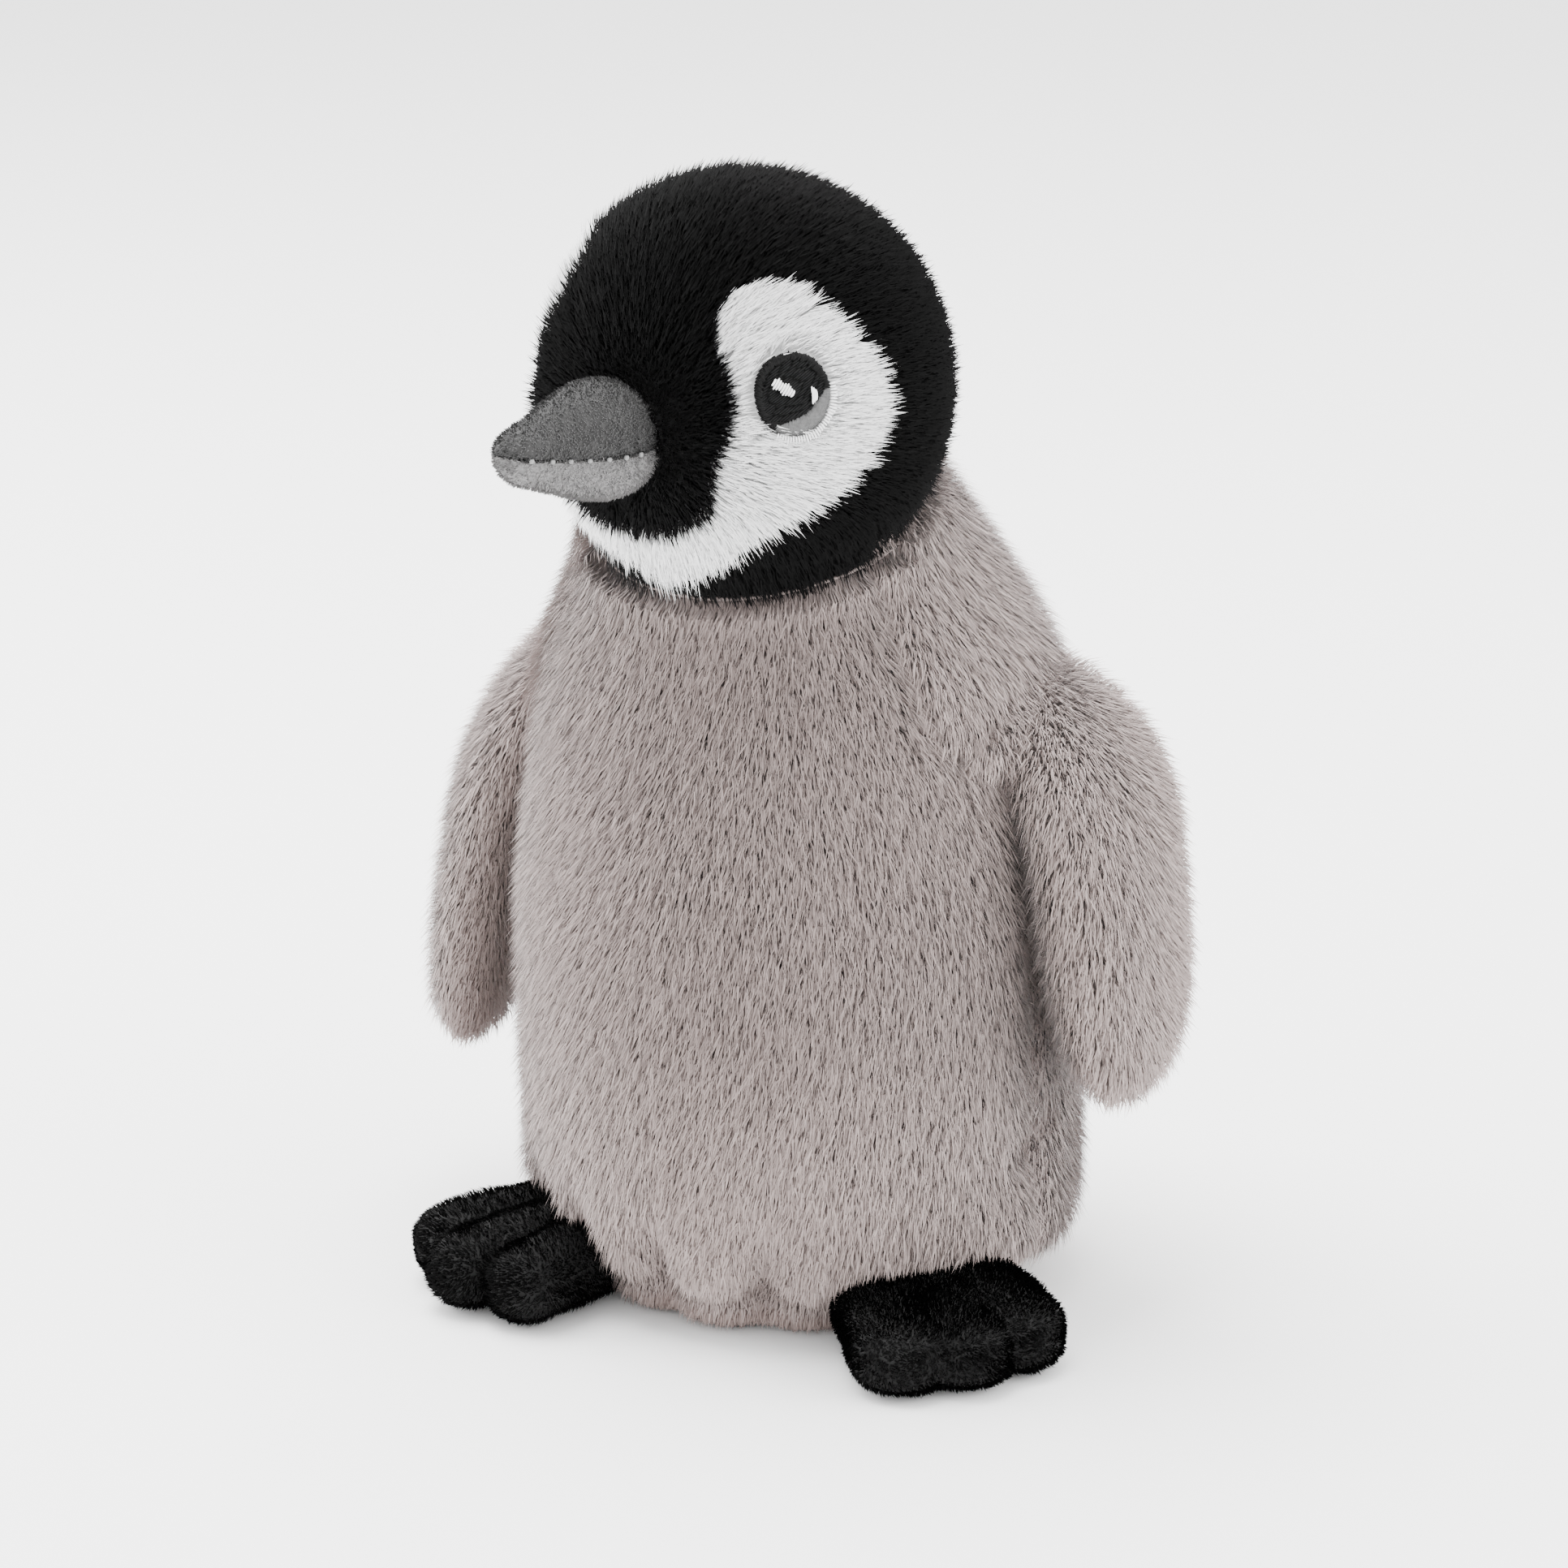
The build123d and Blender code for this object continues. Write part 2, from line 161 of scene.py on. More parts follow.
def smooth_path(keys, share):
    """Catmull-Rom through rows of keys, at shares from 0 to 1."""
    keys = np.asarray(keys, float)
    padded = np.vstack([2 * keys[0] - keys[1], keys, 2 * keys[-1] - keys[-2]])
    t = np.clip(np.asarray(share, float), 0, 1) * (len(keys) - 1)
    k = np.minimum(t.astype(int), len(keys) - 2)
    u = (t - k)[:, None]
    a, b, c, d = padded[k], padded[k + 1], padded[k + 2], padded[k + 3]
    return 0.5 * (2 * b + (c - a) * u + (2 * a - 5 * b + 4 * c - d) * u**2
                  + (3 * b - a - 3 * c + d) * u**3)


def part_of(piece, keep, name):
    """A copy that holds only the faces for which keep is true."""
    bm = bmesh.new()
    bm.from_mesh(piece.data)
    bm.faces.ensure_lookup_table()
    bmesh.ops.delete(bm, geom=[f for f in bm.faces if not keep[f.index]], context="FACES")
    mesh = bpy.data.meshes.new(name)
    bm.to_mesh(mesh)
    bm.free()
    return new_object(name, mesh)


def ring_faces(first, rows, around, closed=False, capped=False):
    """Quads between rings of points; closed joins the last ring to the first, capped shuts both ends."""
    faces = []
    for row in range(rows if closed else rows - 1):
        here, after = first + row * around, first + (row + 1) % rows * around
        for k in range(around):
            beside = (k + 1) % around
            faces.append((here + k, here + beside, after + beside, after + k))
    if capped:
        last = first + (rows - 1) * around
        faces.append([first + k for k in range(around)][::-1])
        faces.append([last + k for k in range(around)])
    return faces


def thread_piece(name, points, faces, material, replaced, body, mend=True):
    """Thread that takes the place of one CAD node and rides with a body."""
    piece = mesh_object(name, points, faces)
    if mend:
        fix_normals(piece)
    piece.data.materials.append(material)
    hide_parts(replaced)
    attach(piece, body)


def face_middles(piece):
    found = np.empty(len(piece.data.polygons) * 3)
    piece.data.polygons.foreach_get("center", found)
    return found.reshape(-1, 3)


# ------------------------------------------------------------------ materials

def new_material(name):
    material = bpy.data.materials.new(name)
    material.use_nodes = True
    shader = material.node_tree.nodes["Principled BSDF"]
    return material, material.node_tree, shader


def ramp_between(tree, stops):
    ramp = tree.nodes.new("ShaderNodeValToRGB")
    elements = ramp.color_ramp.elements
    while len(elements) < len(stops):
        elements.new(0.5)
    for element, (place, colour) in zip(elements, stops):
        element.position = place
        element.color = (*colour, 1)
    return ramp


def pile_material(name, dark, middle, light, root=0.35, sheen=0.25, rough=0.7, shine=0.25):
    """Strands: each has its own shade across the map, and darkens towards its root as painted shade for the
    dark deep in the pile.
    """
    material, tree, shader = new_material(name)
    uv = tree.nodes.new("ShaderNodeUVMap")
    uv.uv_map = "OFBake"
    split = tree.nodes.new("ShaderNodeSeparateXYZ")
    tree.links.new(uv.outputs[0], split.inputs[0])
    shade = ramp_between(tree, [(0.0, dark), (0.5, middle), (1.0, light)])
    tree.links.new(split.outputs[0], shade.inputs[0])
    # painted shade: each strand darkens from its tip down to the root share, standing for the shadow deep
    # inside the pile
    depth = ramp_between(tree, [(0.0, (root,) * 3), (0.55, (0.92,) * 3), (1.0, (1, 1, 1))])
    tree.links.new(split.outputs[1], depth.inputs[0])
    both = tree.nodes.new("ShaderNodeMix")
    both.data_type = "RGBA"
    both.blend_type = "MULTIPLY"
    both.inputs[0].default_value = 1.0
    tree.links.new(shade.outputs[0], both.inputs[6])
    tree.links.new(depth.outputs[0], both.inputs[7])
    tree.links.new(both.outputs[2], shader.inputs["Base Color"])
    shader.inputs["Roughness"].default_value = rough
    shader.inputs["Specular IOR Level"].default_value = shine
    shader.inputs["Sheen Weight"].default_value = sheen
    shader.inputs["Sheen Roughness"].default_value = 0.5
    return material


def cloth_material(name, dark, light, scale=900.0, rough=0.85):
    """Backing cloth or fibre: a fine mottle in the object's own space."""
    material, tree, shader = new_material(name)
    where = tree.nodes.new("ShaderNodeTexCoord")
    noise = tree.nodes.new("ShaderNodeTexNoise")
    noise.inputs["Scale"].default_value = scale
    noise.inputs["Detail"].default_value = 4.0
    tree.links.new(where.outputs["Object"], noise.inputs["Vector"])
    ramp = ramp_between(tree, [(0.3, dark), (0.7, light)])
    tree.links.new(noise.outputs[0], ramp.inputs[0])
    tree.links.new(ramp.outputs[0], shader.inputs["Base Color"])
    bump = tree.nodes.new("ShaderNodeBump")
    bump.inputs["Strength"].default_value = 0.4
    bump.inputs["Distance"].default_value = 0.0002
    tree.links.new(noise.outputs[0], bump.inputs["Height"])
    tree.links.new(bump.outputs[0], shader.inputs["Normal"])
    shader.inputs["Roughness"].default_value = rough
    return material


def thread_material(name, dark, light, rough=0.5, shine=0.4):
    """Embroidery thread: slight streaks along and across, with a soft shine."""
    material = cloth_material(name, dark, light, scale=2600.0, rough=rough)
    shader = material.node_tree.nodes["Principled BSDF"]
    shader.inputs["Specular IOR Level"].default_value = shine
    return material


def grey(value, warm=0.0):
    return (value, value * (1 - warm), value * (1 - 1.25 * warm))


# root sets how dark each pile is painted at its roots, painted shade for the dark deep in the pile
grey_pile = pile_material("grey pile", grey(0.21, 0.21), grey(0.31, 0.20), grey(0.42, 0.18), root=0.42)
base_pile = pile_material("base pile", grey(0.18, 0.25), grey(0.26, 0.24), grey(0.33, 0.23), root=0.45)
black_pile = pile_material(
    "black pile", grey(0.0008), grey(0.0015), grey(0.0045), root=0.6, sheen=0.0, shine=0.06)
white_pile = pile_material("white pile", grey(0.74), grey(0.86), grey(0.92), root=0.70)
foot_nap = pile_material("foot nap", grey(0.0006), grey(0.0012), grey(0.004), root=0.6, sheen=0.0, shine=0.05)
beak_dark_nap = pile_material(
    "beak dark nap", grey(0.026, 0.02), grey(0.036, 0.02), grey(0.050, 0.02), root=0.6)
beak_light_nap = pile_material(
    "beak light nap", grey(0.17, 0.03), grey(0.22, 0.03), grey(0.27, 0.03), root=0.6)
grey_backing = cloth_material("grey backing", grey(0.15, 0.19), grey(0.22, 0.19))
black_backing = cloth_material("black backing", grey(0.0010), grey(0.0025))
white_backing = cloth_material("white backing", grey(0.45), grey(0.6))
beak_dark_cloth = cloth_material("beak dark cloth", grey(0.024, 0.02), grey(0.036, 0.02))
beak_light_cloth = cloth_material("beak light cloth", grey(0.13, 0.02), grey(0.18, 0.02))
charcoal_thread = thread_material("charcoal thread", grey(0.002), grey(0.0065), rough=0.55, shine=0.10)
grey_thread = thread_material("grey thread", grey(0.06), grey(0.11))
seam_thread = thread_material("seam thread", grey(0.16), grey(0.26))
white_thread = thread_material("white thread", grey(0.80), grey(0.92))
pouch_cloth = cloth_material("pouch cloth", grey(0.5), grey(0.7), scale=1500.0)
pellet_plastic = cloth_material("pellet plastic", grey(0.68, 0.03), grey(0.8, 0.03), scale=500.0, rough=0.4)


# ------------------------------------------------------------------ pile

def strand_shapes():
    """Four curved strands, flat ribbons that taper to a point, as unit shapes."""
    shapes = bpy.data.collections.new("strand shapes")
    bends = ((0.36, 0.70, 1.00), (0.28, 0.74, 1.12), (0.44, 0.62, 0.86), (0.33, 0.76, 1.02))
    for k, (x1, z1, z2) in enumerate(bends):
        points = [(0, -0.5, 0), (0, 0.5, 0), (x1, -0.42, z1), (x1, 0.42, z1), (1.0, 0, z2)]
        faces = [(0, 2, 3, 1), (2, 4, 3)]
        mesh = bpy.data.meshes.new("strand %d" % k)
        mesh.from_pydata(points, [], faces)
        along = [0.0, 0.0, 0.6, 0.6, 1.0]
        layer = mesh.uv_layers.new(name="OFBake")
        for loop in mesh.loops:
            layer.data[loop.index].uv = (points[loop.vertex_index][1], along[loop.vertex_index])
        shapes.objects.link(bpy.data.objects.new("strand %d" % k, mesh))
    return shapes


def build_pile_tree(shapes):
    """Strands scattered on a skin, combed along its comb attribute and gathered into tufts."""
    tree = bpy.data.node_groups.new("pile", "GeometryNodeTree")
    face = tree.interface
    face.new_socket("Geometry", in_out="OUTPUT", socket_type="NodeSocketGeometry")
    face.new_socket("Geometry", in_out="INPUT", socket_type="NodeSocketGeometry")
    for name in ("Density", "Length", "Width", "Lean", "Rise", "Clump", "Gather", "Stray"):
        face.new_socket(name, in_out="INPUT", socket_type="NodeSocketFloat")
    face.new_socket("Seed", in_out="INPUT", socket_type="NodeSocketInt")
    face.new_socket("Material", in_out="INPUT", socket_type="NodeSocketMaterial")

    def put(kind, *values, **settings):
        node = tree.nodes.new(kind)
        for key, value in settings.items():
            setattr(node, key, value)
        for socket, value in values:
            target = node.inputs[socket]
            if isinstance(value, bpy.types.NodeSocket):
                tree.links.new(value, target)
            else:
                target.default_value = value
        return node

    def maths(operation, a, b=0.0):
        return put("ShaderNodeMath", (0, a), (1, b), operation=operation).outputs[0]

    def vector(operation, a, b=(0, 0, 0)):
        return put("ShaderNodeVectorMath", (0, a), (1, b), operation=operation).outputs[0]

    def scaled(a, by):
        return put("ShaderNodeVectorMath", (0, a), (3, by), operation="SCALE").outputs[0]

    def random_number(low, high, seed):
        node = put("FunctionNodeRandomValue", (2, low), (3, high), ("Seed", seed), data_type="FLOAT")
        return node.outputs[1]

    def attribute(name, kind="FLOAT"):
        return put("GeometryNodeInputNamedAttribute", ("Name", name), data_type=kind).outputs[0]

    given = tree.nodes.new("NodeGroupInput").outputs
    cover = attribute("cover")
    points = put("GeometryNodeDistributePointsOnFaces", ("Mesh", given["Geometry"]),
                 ("Density", maths("MULTIPLY", given["Density"], cover)), ("Seed", given["Seed"]),
                 distribute_method="RANDOM")
    clump_density = maths("DIVIDE", 1.0, maths("MULTIPLY", given["Clump"], given["Clump"]))
    clumps = put("GeometryNodeDistributePointsOnFaces", ("Mesh", given["Geometry"]),
                 ("Density", clump_density), ("Seed", maths("ADD", given["Seed"], 50.0)),
                 distribute_method="RANDOM")
    position = put("GeometryNodeInputPosition").outputs[0]
    nearest = put("GeometryNodeSampleNearest", ("Geometry", clumps.outputs["Points"]),
                  ("Sample Position", position), domain="POINT").outputs[0]
    middle = put("GeometryNodeSampleIndex", ("Geometry", clumps.outputs["Points"]), ("Index", nearest),
                 ("Value", position), data_type="FLOAT_VECTOR", domain="POINT").outputs[0]
    clump_shade = put("FunctionNodeRandomValue", (2, -0.5), (3, 0.5), ("ID", nearest), ("Seed", 3),
                      data_type="FLOAT").outputs[1]
    pile = attribute("pile")
    length = maths("MULTIPLY", maths("MULTIPLY", given["Length"], pile), random_number(0.72, 1.14, 1))
    drift = put("FunctionNodeRandomValue", (0, (-1, -1, -1)), (1, (1, 1, 1)), ("Seed", 2),
                data_type="FLOAT_VECTOR").outputs[0]
    comb = vector("ADD", attribute("comb", "FLOAT_VECTOR"), scaled(drift, given["Stray"]))
    to_middle = scaled(vector("SUBTRACT", middle, position), given["Gather"])
    reach = maths("MULTIPLY", maths("MULTIPLY", given["Length"], pile), given["Lean"])
    lean = vector("ADD", scaled(comb, reach), to_middle)
    rotation = put("FunctionNodeAxesToRotation", (0, points.outputs["Normal"]), (1, lean),
                   primary_axis="Z", secondary_axis="X").outputs[0]
    rise = maths("MULTIPLY", maths("MULTIPLY", length, given["Rise"]),
                 maths("MULTIPLY", attribute("fluff"), random_number(0.75, 1.2, 4)))
    breadth = maths("MULTIPLY", given["Width"], random_number(0.7, 1.3, 5))
    along = maths("MULTIPLY", length, given["Lean"])
    size = put("ShaderNodeCombineXYZ", (0, along), (1, breadth), (2, rise)).outputs[0]
    shapes_node = put("GeometryNodeCollectionInfo", ("Collection", shapes), ("Separate Children", True),
                      ("Reset Children", True))
    which = put("FunctionNodeRandomValue", (4, 0), (5, 3), ("Seed", 6), data_type="INT").outputs[2]
    strands = put("GeometryNodeInstanceOnPoints", ("Points", points.outputs["Points"]),
                  ("Instance", shapes_node.outputs[0]), ("Pick Instance", True), ("Instance Index", which),
                  ("Rotation", rotation), ("Scale", size))
    # each strand takes the skin's shade share, which on the torso holds painted shade, plus random tone for
    # itself and its tuft
    shade = maths("ADD", maths("ADD", attribute("shade"), random_number(-0.22, 0.22, 7)),
                  maths("MULTIPLY", clump_shade, 0.24))
    shade = maths("MINIMUM", maths("MAXIMUM", shade, 0.03), 0.97)
    shaded = put("GeometryNodeStoreNamedAttribute", ("Geometry", strands.outputs[0]),
                 ("Name", "strand_shade"), ("Value", shade), data_type="FLOAT", domain="INSTANCE")
    real = put("GeometryNodeRealizeInstances", ("Geometry", shaded.outputs[0]))
    uv = put("ShaderNodeSeparateXYZ", (0, attribute("OFBake", "FLOAT_VECTOR"))).outputs
    across = maths("ADD", attribute("strand_shade"), maths("MULTIPLY", uv[0], 0.02))
    place = put("ShaderNodeCombineXYZ", (0, across), (1, uv[1])).outputs[0]
    mapped = put("GeometryNodeStoreNamedAttribute", ("Geometry", real.outputs[0]), ("Name", "OFBake"),
                 ("Value", place), data_type="FLOAT2", domain="CORNER")
    dressed = put("GeometryNodeSetMaterial", ("Geometry", mapped.outputs[0]), ("Material", given["Material"]))
    out = tree.nodes.new("NodeGroupOutput")
    tree.links.new(dressed.outputs[0], out.inputs[0])
    return tree


pile_tree = build_pile_tree(strand_shapes())


def grow(skin, name, pile, material, seed):
    """Grows a pile on a combed skin and returns it as a plain mesh."""
    modifier = skin.modifiers.new("pile", "NODES")
    modifier.node_group = pile_tree
    values = {"Density": pile["per_mm2"] / MM**2, "Length": pile["length"] * MM,
              "Width": pile["width"] * MM, "Lean": pile["lean"], "Rise": pile["rise"],
              "Clump": pile["clump"] * MM, "Gather": pile["gather"], "Stray": pile["stray"],
              "Seed": seed, "Material": material}
    for item in pile_tree.interface.items_tree:
        if item.in_out == "INPUT" and item.name in values:
            modifier[item.identifier] = values[item.name]
    graph = bpy.context.evaluated_depsgraph_get()
    mesh = bpy.data.meshes.new_from_object(skin.evaluated_get(graph), depsgraph=graph)
    skin.modifiers.remove(modifier)
    working = ("strand_shade", "comb", "pile", "shade", "cover", "fluff")
    for extra in [a.name for a in mesh.attributes if a.name in working]:
        mesh.attributes.remove(mesh.attributes[extra])
    piece = new_object(name, mesh)
    found = places(piece)
    found[:, 2] = np.maximum(found[:, 2], LOWEST_STRAND)
    set_places(piece, found)
    return piece


def comb_skin(skin, comb, pile=1.0, shade=0.5, cover=1.0, fluff=1.0):
    """Gives a skin its comb direction, and shares for strand length, shade, density and rise."""
    count = len(skin.data.vertices)
    write_attribute(skin, "comb", comb, "FLOAT_VECTOR")
    for name, value in (("pile", pile), ("shade", shade), ("cover", cover), ("fluff", fluff)):
        write_attribute(skin, name, np.broadcast_to(value, (count,)))


def grow_part(skin, inside, name, pile, material, slot, seed):
    """Grows a pile on the faces for which inside is true."""
    patch = part_of(skin, inside, name + "_root")
    piece = grow(patch, name, pile, material, seed)
    bpy.data.objects.remove(patch)
    return piece


def puff(piece, held, cap, pressure=4.0):
    """Lets the filling press the cloth out between its held seams for twenty frames."""
    before = places(piece)
    group = piece.vertex_groups.new(name="held")
    for index in np.nonzero(held > 0.02)[0]:
        group.add([int(index)], float(min(held[index], 1.0)), "REPLACE")
    cloth = piece.modifiers.new("cloth", "CLOTH")
    cloth.settings.quality = 6
    cloth.settings.mass = 0.3
    cloth.settings.tension_stiffness = 12
    cloth.settings.compression_stiffness = 12
    cloth.settings.bending_stiffness = 0.6
    cloth.settings.use_pressure = True
    cloth.settings.uniform_pressure_force = pressure
    cloth.settings.vertex_group_mass = "held"
    cloth.settings.effector_weights.gravity = 0
    cloth.collision_settings.use_collision = False
    scene = bpy.context.scene
    for frame_number in range(1, 21):
        scene.frame_set(frame_number)
    graph = bpy.context.evaluated_depsgraph_get()
    moved = np.empty(len(before) * 3)
    piece.evaluated_get(graph).data.vertices.foreach_get("co", moved)
    piece.modifiers.remove(cloth)
    piece.vertex_groups.clear()
    scene.frame_set(1)
    shift = moved.reshape(-1, 3) - before
    size = np.linalg.norm(shift, axis=1, keepdims=True)
    set_places(piece, before + shift * np.minimum(1, cap / np.maximum(size, 1e-9)))


# ------------------------------------------------------------------ torso

head_middle = Vector(joints["head_turn"]["pos_m"])
neck_up = Vector(joints["head_turn"]["axis"]).normalized()
thread_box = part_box("neck_thread")
neck_middle = (thread_box[0] + thread_box[1]) / 2
torso_names = ("belly_panel", "side_panel_left", "side_panel_right", "base_panel")
torso_tree = tree_of(*torso_names)
AROUND, UP = 132, 64
LEVEL_END = 95 * MM         # level planes below, planes that turn to the neck's above
AXIS_DEPTH = 2 * MM         # how far back the torso's upright axis stands
DEGREE_ARC = 0.75 * MM      # a degree of azimuth, measured on the cloth
# Depths sunk into the cloth: the belly seam, the back seam, the groove over the base, the neck's rim
SEAM_DEEP, BACK_SEAM_DEEP, BASE_DEEP, RIM_DEEP = 1.7 * MM, 1.0 * MM, 2.2 * MM, 2.6 * MM


def torso_levels():
    """Middles and normals of the planes that the torso is read off on, from the base to the neck."""
    levels = []
    for k in range(UP):
        share = k / (UP - 1)
        if share < 0.75:
            height = 1.0 * MM + (LEVEL_END - 1.0 * MM) * (share / 0.75)
            levels.append((Vector((0, AXIS_DEPTH, height)), Vector((0, 0, 1))))
        else:
            t = (share - 0.75) / 0.25
            middle = Vector((0, AXIS_DEPTH, LEVEL_END)).lerp(neck_middle - neck_up * 1.5 * MM, t)
            levels.append((middle, Vector((0, 0, 1)).slerp(neck_up, t)))
    return levels


def torso_skin():
    """Reads the torso off its CAD panels, ring by ring."""
    points = []
    for middle, normal in torso_levels():
        side = Vector((1, 0, 0))
        back = normal.cross(side).normalized()
        for k in range(AROUND):
            angle = 2 * math.pi * k / AROUND
            way = side * math.sin(angle) - back * math.cos(angle)
            hit = torso_tree.ray_cast(middle + way * 0.2, -way, 0.2)
            points.append(hit[0] if hit[0] else middle + way * 28 * MM)
    faces = ring_faces(0, UP, AROUND)
    base, top = len(points), len(points) + 1
    points += [Vector((0, AXIS_DEPTH, 0.6 * MM)), neck_middle + neck_up * 2 * MM]
    last = (UP - 1) * AROUND
    for k in range(AROUND):
        after = (k + 1) % AROUND
        faces.append((base, after, k))
        faces.append((top, last + k, last + after))
    return mesh_object("torso_cover", points, faces)


def azimuth_of(found):
    """Degrees from the front, positive to either side, about the torso's upright axis."""
    return np.degrees(np.arctan2(np.abs(found[:, 0]), -(found[:, 1] - AXIS_DEPTH)))


def seam_azimuth(height):
    """Where the belly seam runs at each height: up the flank, then forward over the shoulder."""
    heights = np.array([0, 70, 84, 89, 95, 112, 130]) * MM
    return np.interp(height, heights, [83, 82, 80, 72, 57, 48, 45])


def lumps(found, size, seed):
    """A smooth random field from a few waves."""
    rng = np.random.default_rng(seed)
    total = np.zeros(len(found))
    for _ in range(10):
        wave = rng.normal(size=3)
        total += np.sin(found @ (wave / size) + rng.uniform(0, 6.28))
    return total / 10**0.5


CREASES = [     # gathers above the base: degrees from the front, half width, depth in millimetres
    (-50, 6.0, 5.2), (-30, 5.0, 3.6), (-8, 5.0, 4.4), (17, 5.5, 3.4), (140, 6.0, 3.0), (-150, 6.0, 2.6)]
CREASE_SLANT = 200          # degrees that a gather wanders to each metre of height
# Folds of the torso: degrees from the front, height, half width and half height, how far out in
# millimetres, and how much it rises with each degree
FOLDS = [
    (84, 12, 26, 8, 4.4, 0.0),              # hip
    (86, 29, 10, 2.6, -3.6, 0.35),          # crease above the foot
    (66, 88, 9, 6, -2.0, 0.0),              # hollow in front of the wing's root
    (72, 97.2, 13, 1.7, -2.8, 0.42),        # fold over the wing's root
    (72, 92.2, 11, 2.6, 2.2, 0.42)]         # and the roll under it


def shape_torso(skin):
    """Draws the skin in under the pile, sinks its seams, raises its folds and puffs it out."""
    found, normals = places(skin), outward(skin)
    height, azimuth = found[:, 2], azimuth_of(found)
    signed = azimuth * np.sign(found[:, 0])
    above_base = step(height, 3 * MM, 12 * MM)
    inset = PILE_DEPTH * np.where(height < 2 * MM, 0.2, 1.0)
    off_seam = (azimuth - seam_azimuth(height)) * DEGREE_ARC
    groove = SEAM_DEEP * hump(off_seam, 0, 2.2 * MM) * above_base
    back_seam = BACK_SEAM_DEEP * hump(azimuth, 180, 2 / 0.7) * above_base
    base_groove = BASE_DEEP * hump(height, 6.2 * MM, 2.0 * MM)
    low = step(height, 26 * MM, 9 * MM) * (0.35 + 0.65 * step(height, 2 * MM, 8 * MM))
    creases = np.zeros(len(found))
    for crease, wide, deep in CREASES:
        creases += deep * MM * hump(signed, crease + CREASE_SLANT * (height - 8 * MM), wide) * low
    folds = np.zeros(len(found))
    for at, high, wide, tall, out, slant in FOLDS:
        middle = (high + slant * (azimuth - at)) * MM
        folds += out * MM * hump(azimuth, at, wide) * hump(height, middle, tall * MM)
    to_neck = (found - np.array(neck_middle)) @ np.array(neck_up)
    rim = step(to_neck, -9 * MM, 0) ** 2 * RIM_DEEP * (0.15 + 0.85 * step(azimuth, 120, 160))
    uneven = lumps(found, 14 * MM, 1) * 0.45 * MM
    move = folds + uneven - inset - groove - base_groove - creases - back_seam - rim
    found = found + normals * move[:, None]
    found[:, 2] = np.maximum(found[:, 2], 0.5 * MM)
    set_places(skin, found)
    seams = np.maximum(hump(off_seam, 0, 2.5 * MM), step(height, 9 * MM, 4 * MM))
    neck = step((found - np.array(neck_middle)) @ np.array(neck_up), -7 * MM, -3 * MM)
    puff(skin, np.maximum(seams, neck), 1.6 * MM)
    # returns how open the cloth is, low in creases and grooves, where the pile grows shorter and is darkened
    # as painted shade
    return 1 - np.clip((creases + 0.8 * base_groove + 0.5 * groove) / (3.6 * MM), 0, 1)


def comb_torso(skin, open_cloth):
    """Pile runs down the belly, and down and backwards on the flanks; it is short in the folds. Painted shade
    darkens it in the folds and grooves and over the front of the belly.
    """
    found, normals = places(skin), outward(skin)
    height, azimuth = found[:, 2], azimuth_of(found)
    sign = np.sign(found[:, 0] + 1e-9)
    down = flat_to(np.tile([0.0, 0.0, -1.0], (len(found), 1)), normals)
    back = np.cross(normals, down) * -sign[:, None]
    over = step(azimuth - seam_azimuth(height), -2.0, 2.0)
    wander = lumps(found, 22 * MM, 5) * 0.22
    belly_back = 0.10 + 0.35 * step(azimuth, 20, 75) + wander
    rise = step(height, 85 * MM, 115 * MM)
    flank_back = (0.62 - 0.25 * step(azimuth, 120, 170) + wander) * (1 - 0.5 * rise)
    down_share = 1 - over * 0.35 * (1 - rise)
    back_share = belly_back * (1 - over) + flank_back * over
    back_share = back_share * (1 - step(azimuth, 165, 180))
    comb = flat_to(down * down_share[:, None] + back * back_share[:, None], normals)
    under = step(height, 6 * MM, 1 * MM)
    # painted shade: darker in the creases and grooves, and darker over the front of the belly below the head
    belly = (1 - over) * step(height, 30 * MM, 60 * MM)
    shade = 0.30 + 0.24 * open_cloth + 0.08 * lumps(found, 30 * MM, 8) - 0.30 * belly + 0.05 * over
    comb_skin(skin, comb, pile=(1 - 0.55 * under) * (0.55 + 0.45 * open_cloth), shade=shade,
              fluff=1 - 0.5 * under, cover=np.where(height < 1.2 * MM, 0.2, 1.0))


def make_torso():
    skin = torso_skin()
    comb_torso(skin, shape_torso(skin))
    skin.data.materials.append(grey_backing)
    middles = face_middles(skin)
    azimuth, height = azimuth_of(middles), middles[:, 2]
    front = azimuth < seam_azimuth(height)
    left = middles[:, 0] > 0
    bands = {"low": (0, 45 * MM), "middle": (45 * MM, 90 * MM), "high": (90 * MM, 1)}
    strip = height < (5.8 + 0.8 * np.sin(np.radians(azimuth * 7))) * MM
    panels = {"belly": front & ~strip, "left_flank": ~front & left & ~strip,
              "right_flank": ~front & ~left & ~strip}
    place_on_torso(grow_part(skin, strip, "base_pile", BODY_PILE, base_pile, "grey_pile", 9), False)
    seed = 10
    for panel, inside in panels.items():
        for band, (low, high) in bands.items():
            seed += 1
            name = "%s_%s_pile" % (panel, band)
            inside_band = inside & (height >= low) & (height < high)
            pile = grow_part(skin, inside_band, name, BODY_PILE, grey_pile, "grey_pile", seed)
            place_on_torso(pile, band == "high")
    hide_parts(*torso_names, "torso_stuffing")
    place_on_torso(skin, True)


def place_on_torso(piece, reaches_neck):
    """Cloth near the neck twists with the neck, the rest stays with the torso."""
    if reaches_neck:
        end = tuple(neck_middle - neck_up * MM)
        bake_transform(piece, "torso", "neck", start=(0, AXIS_DEPTH, LEVEL_END), end=end)
    else:
        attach(piece, "torso")


# ------------------------------------------------------------------ head

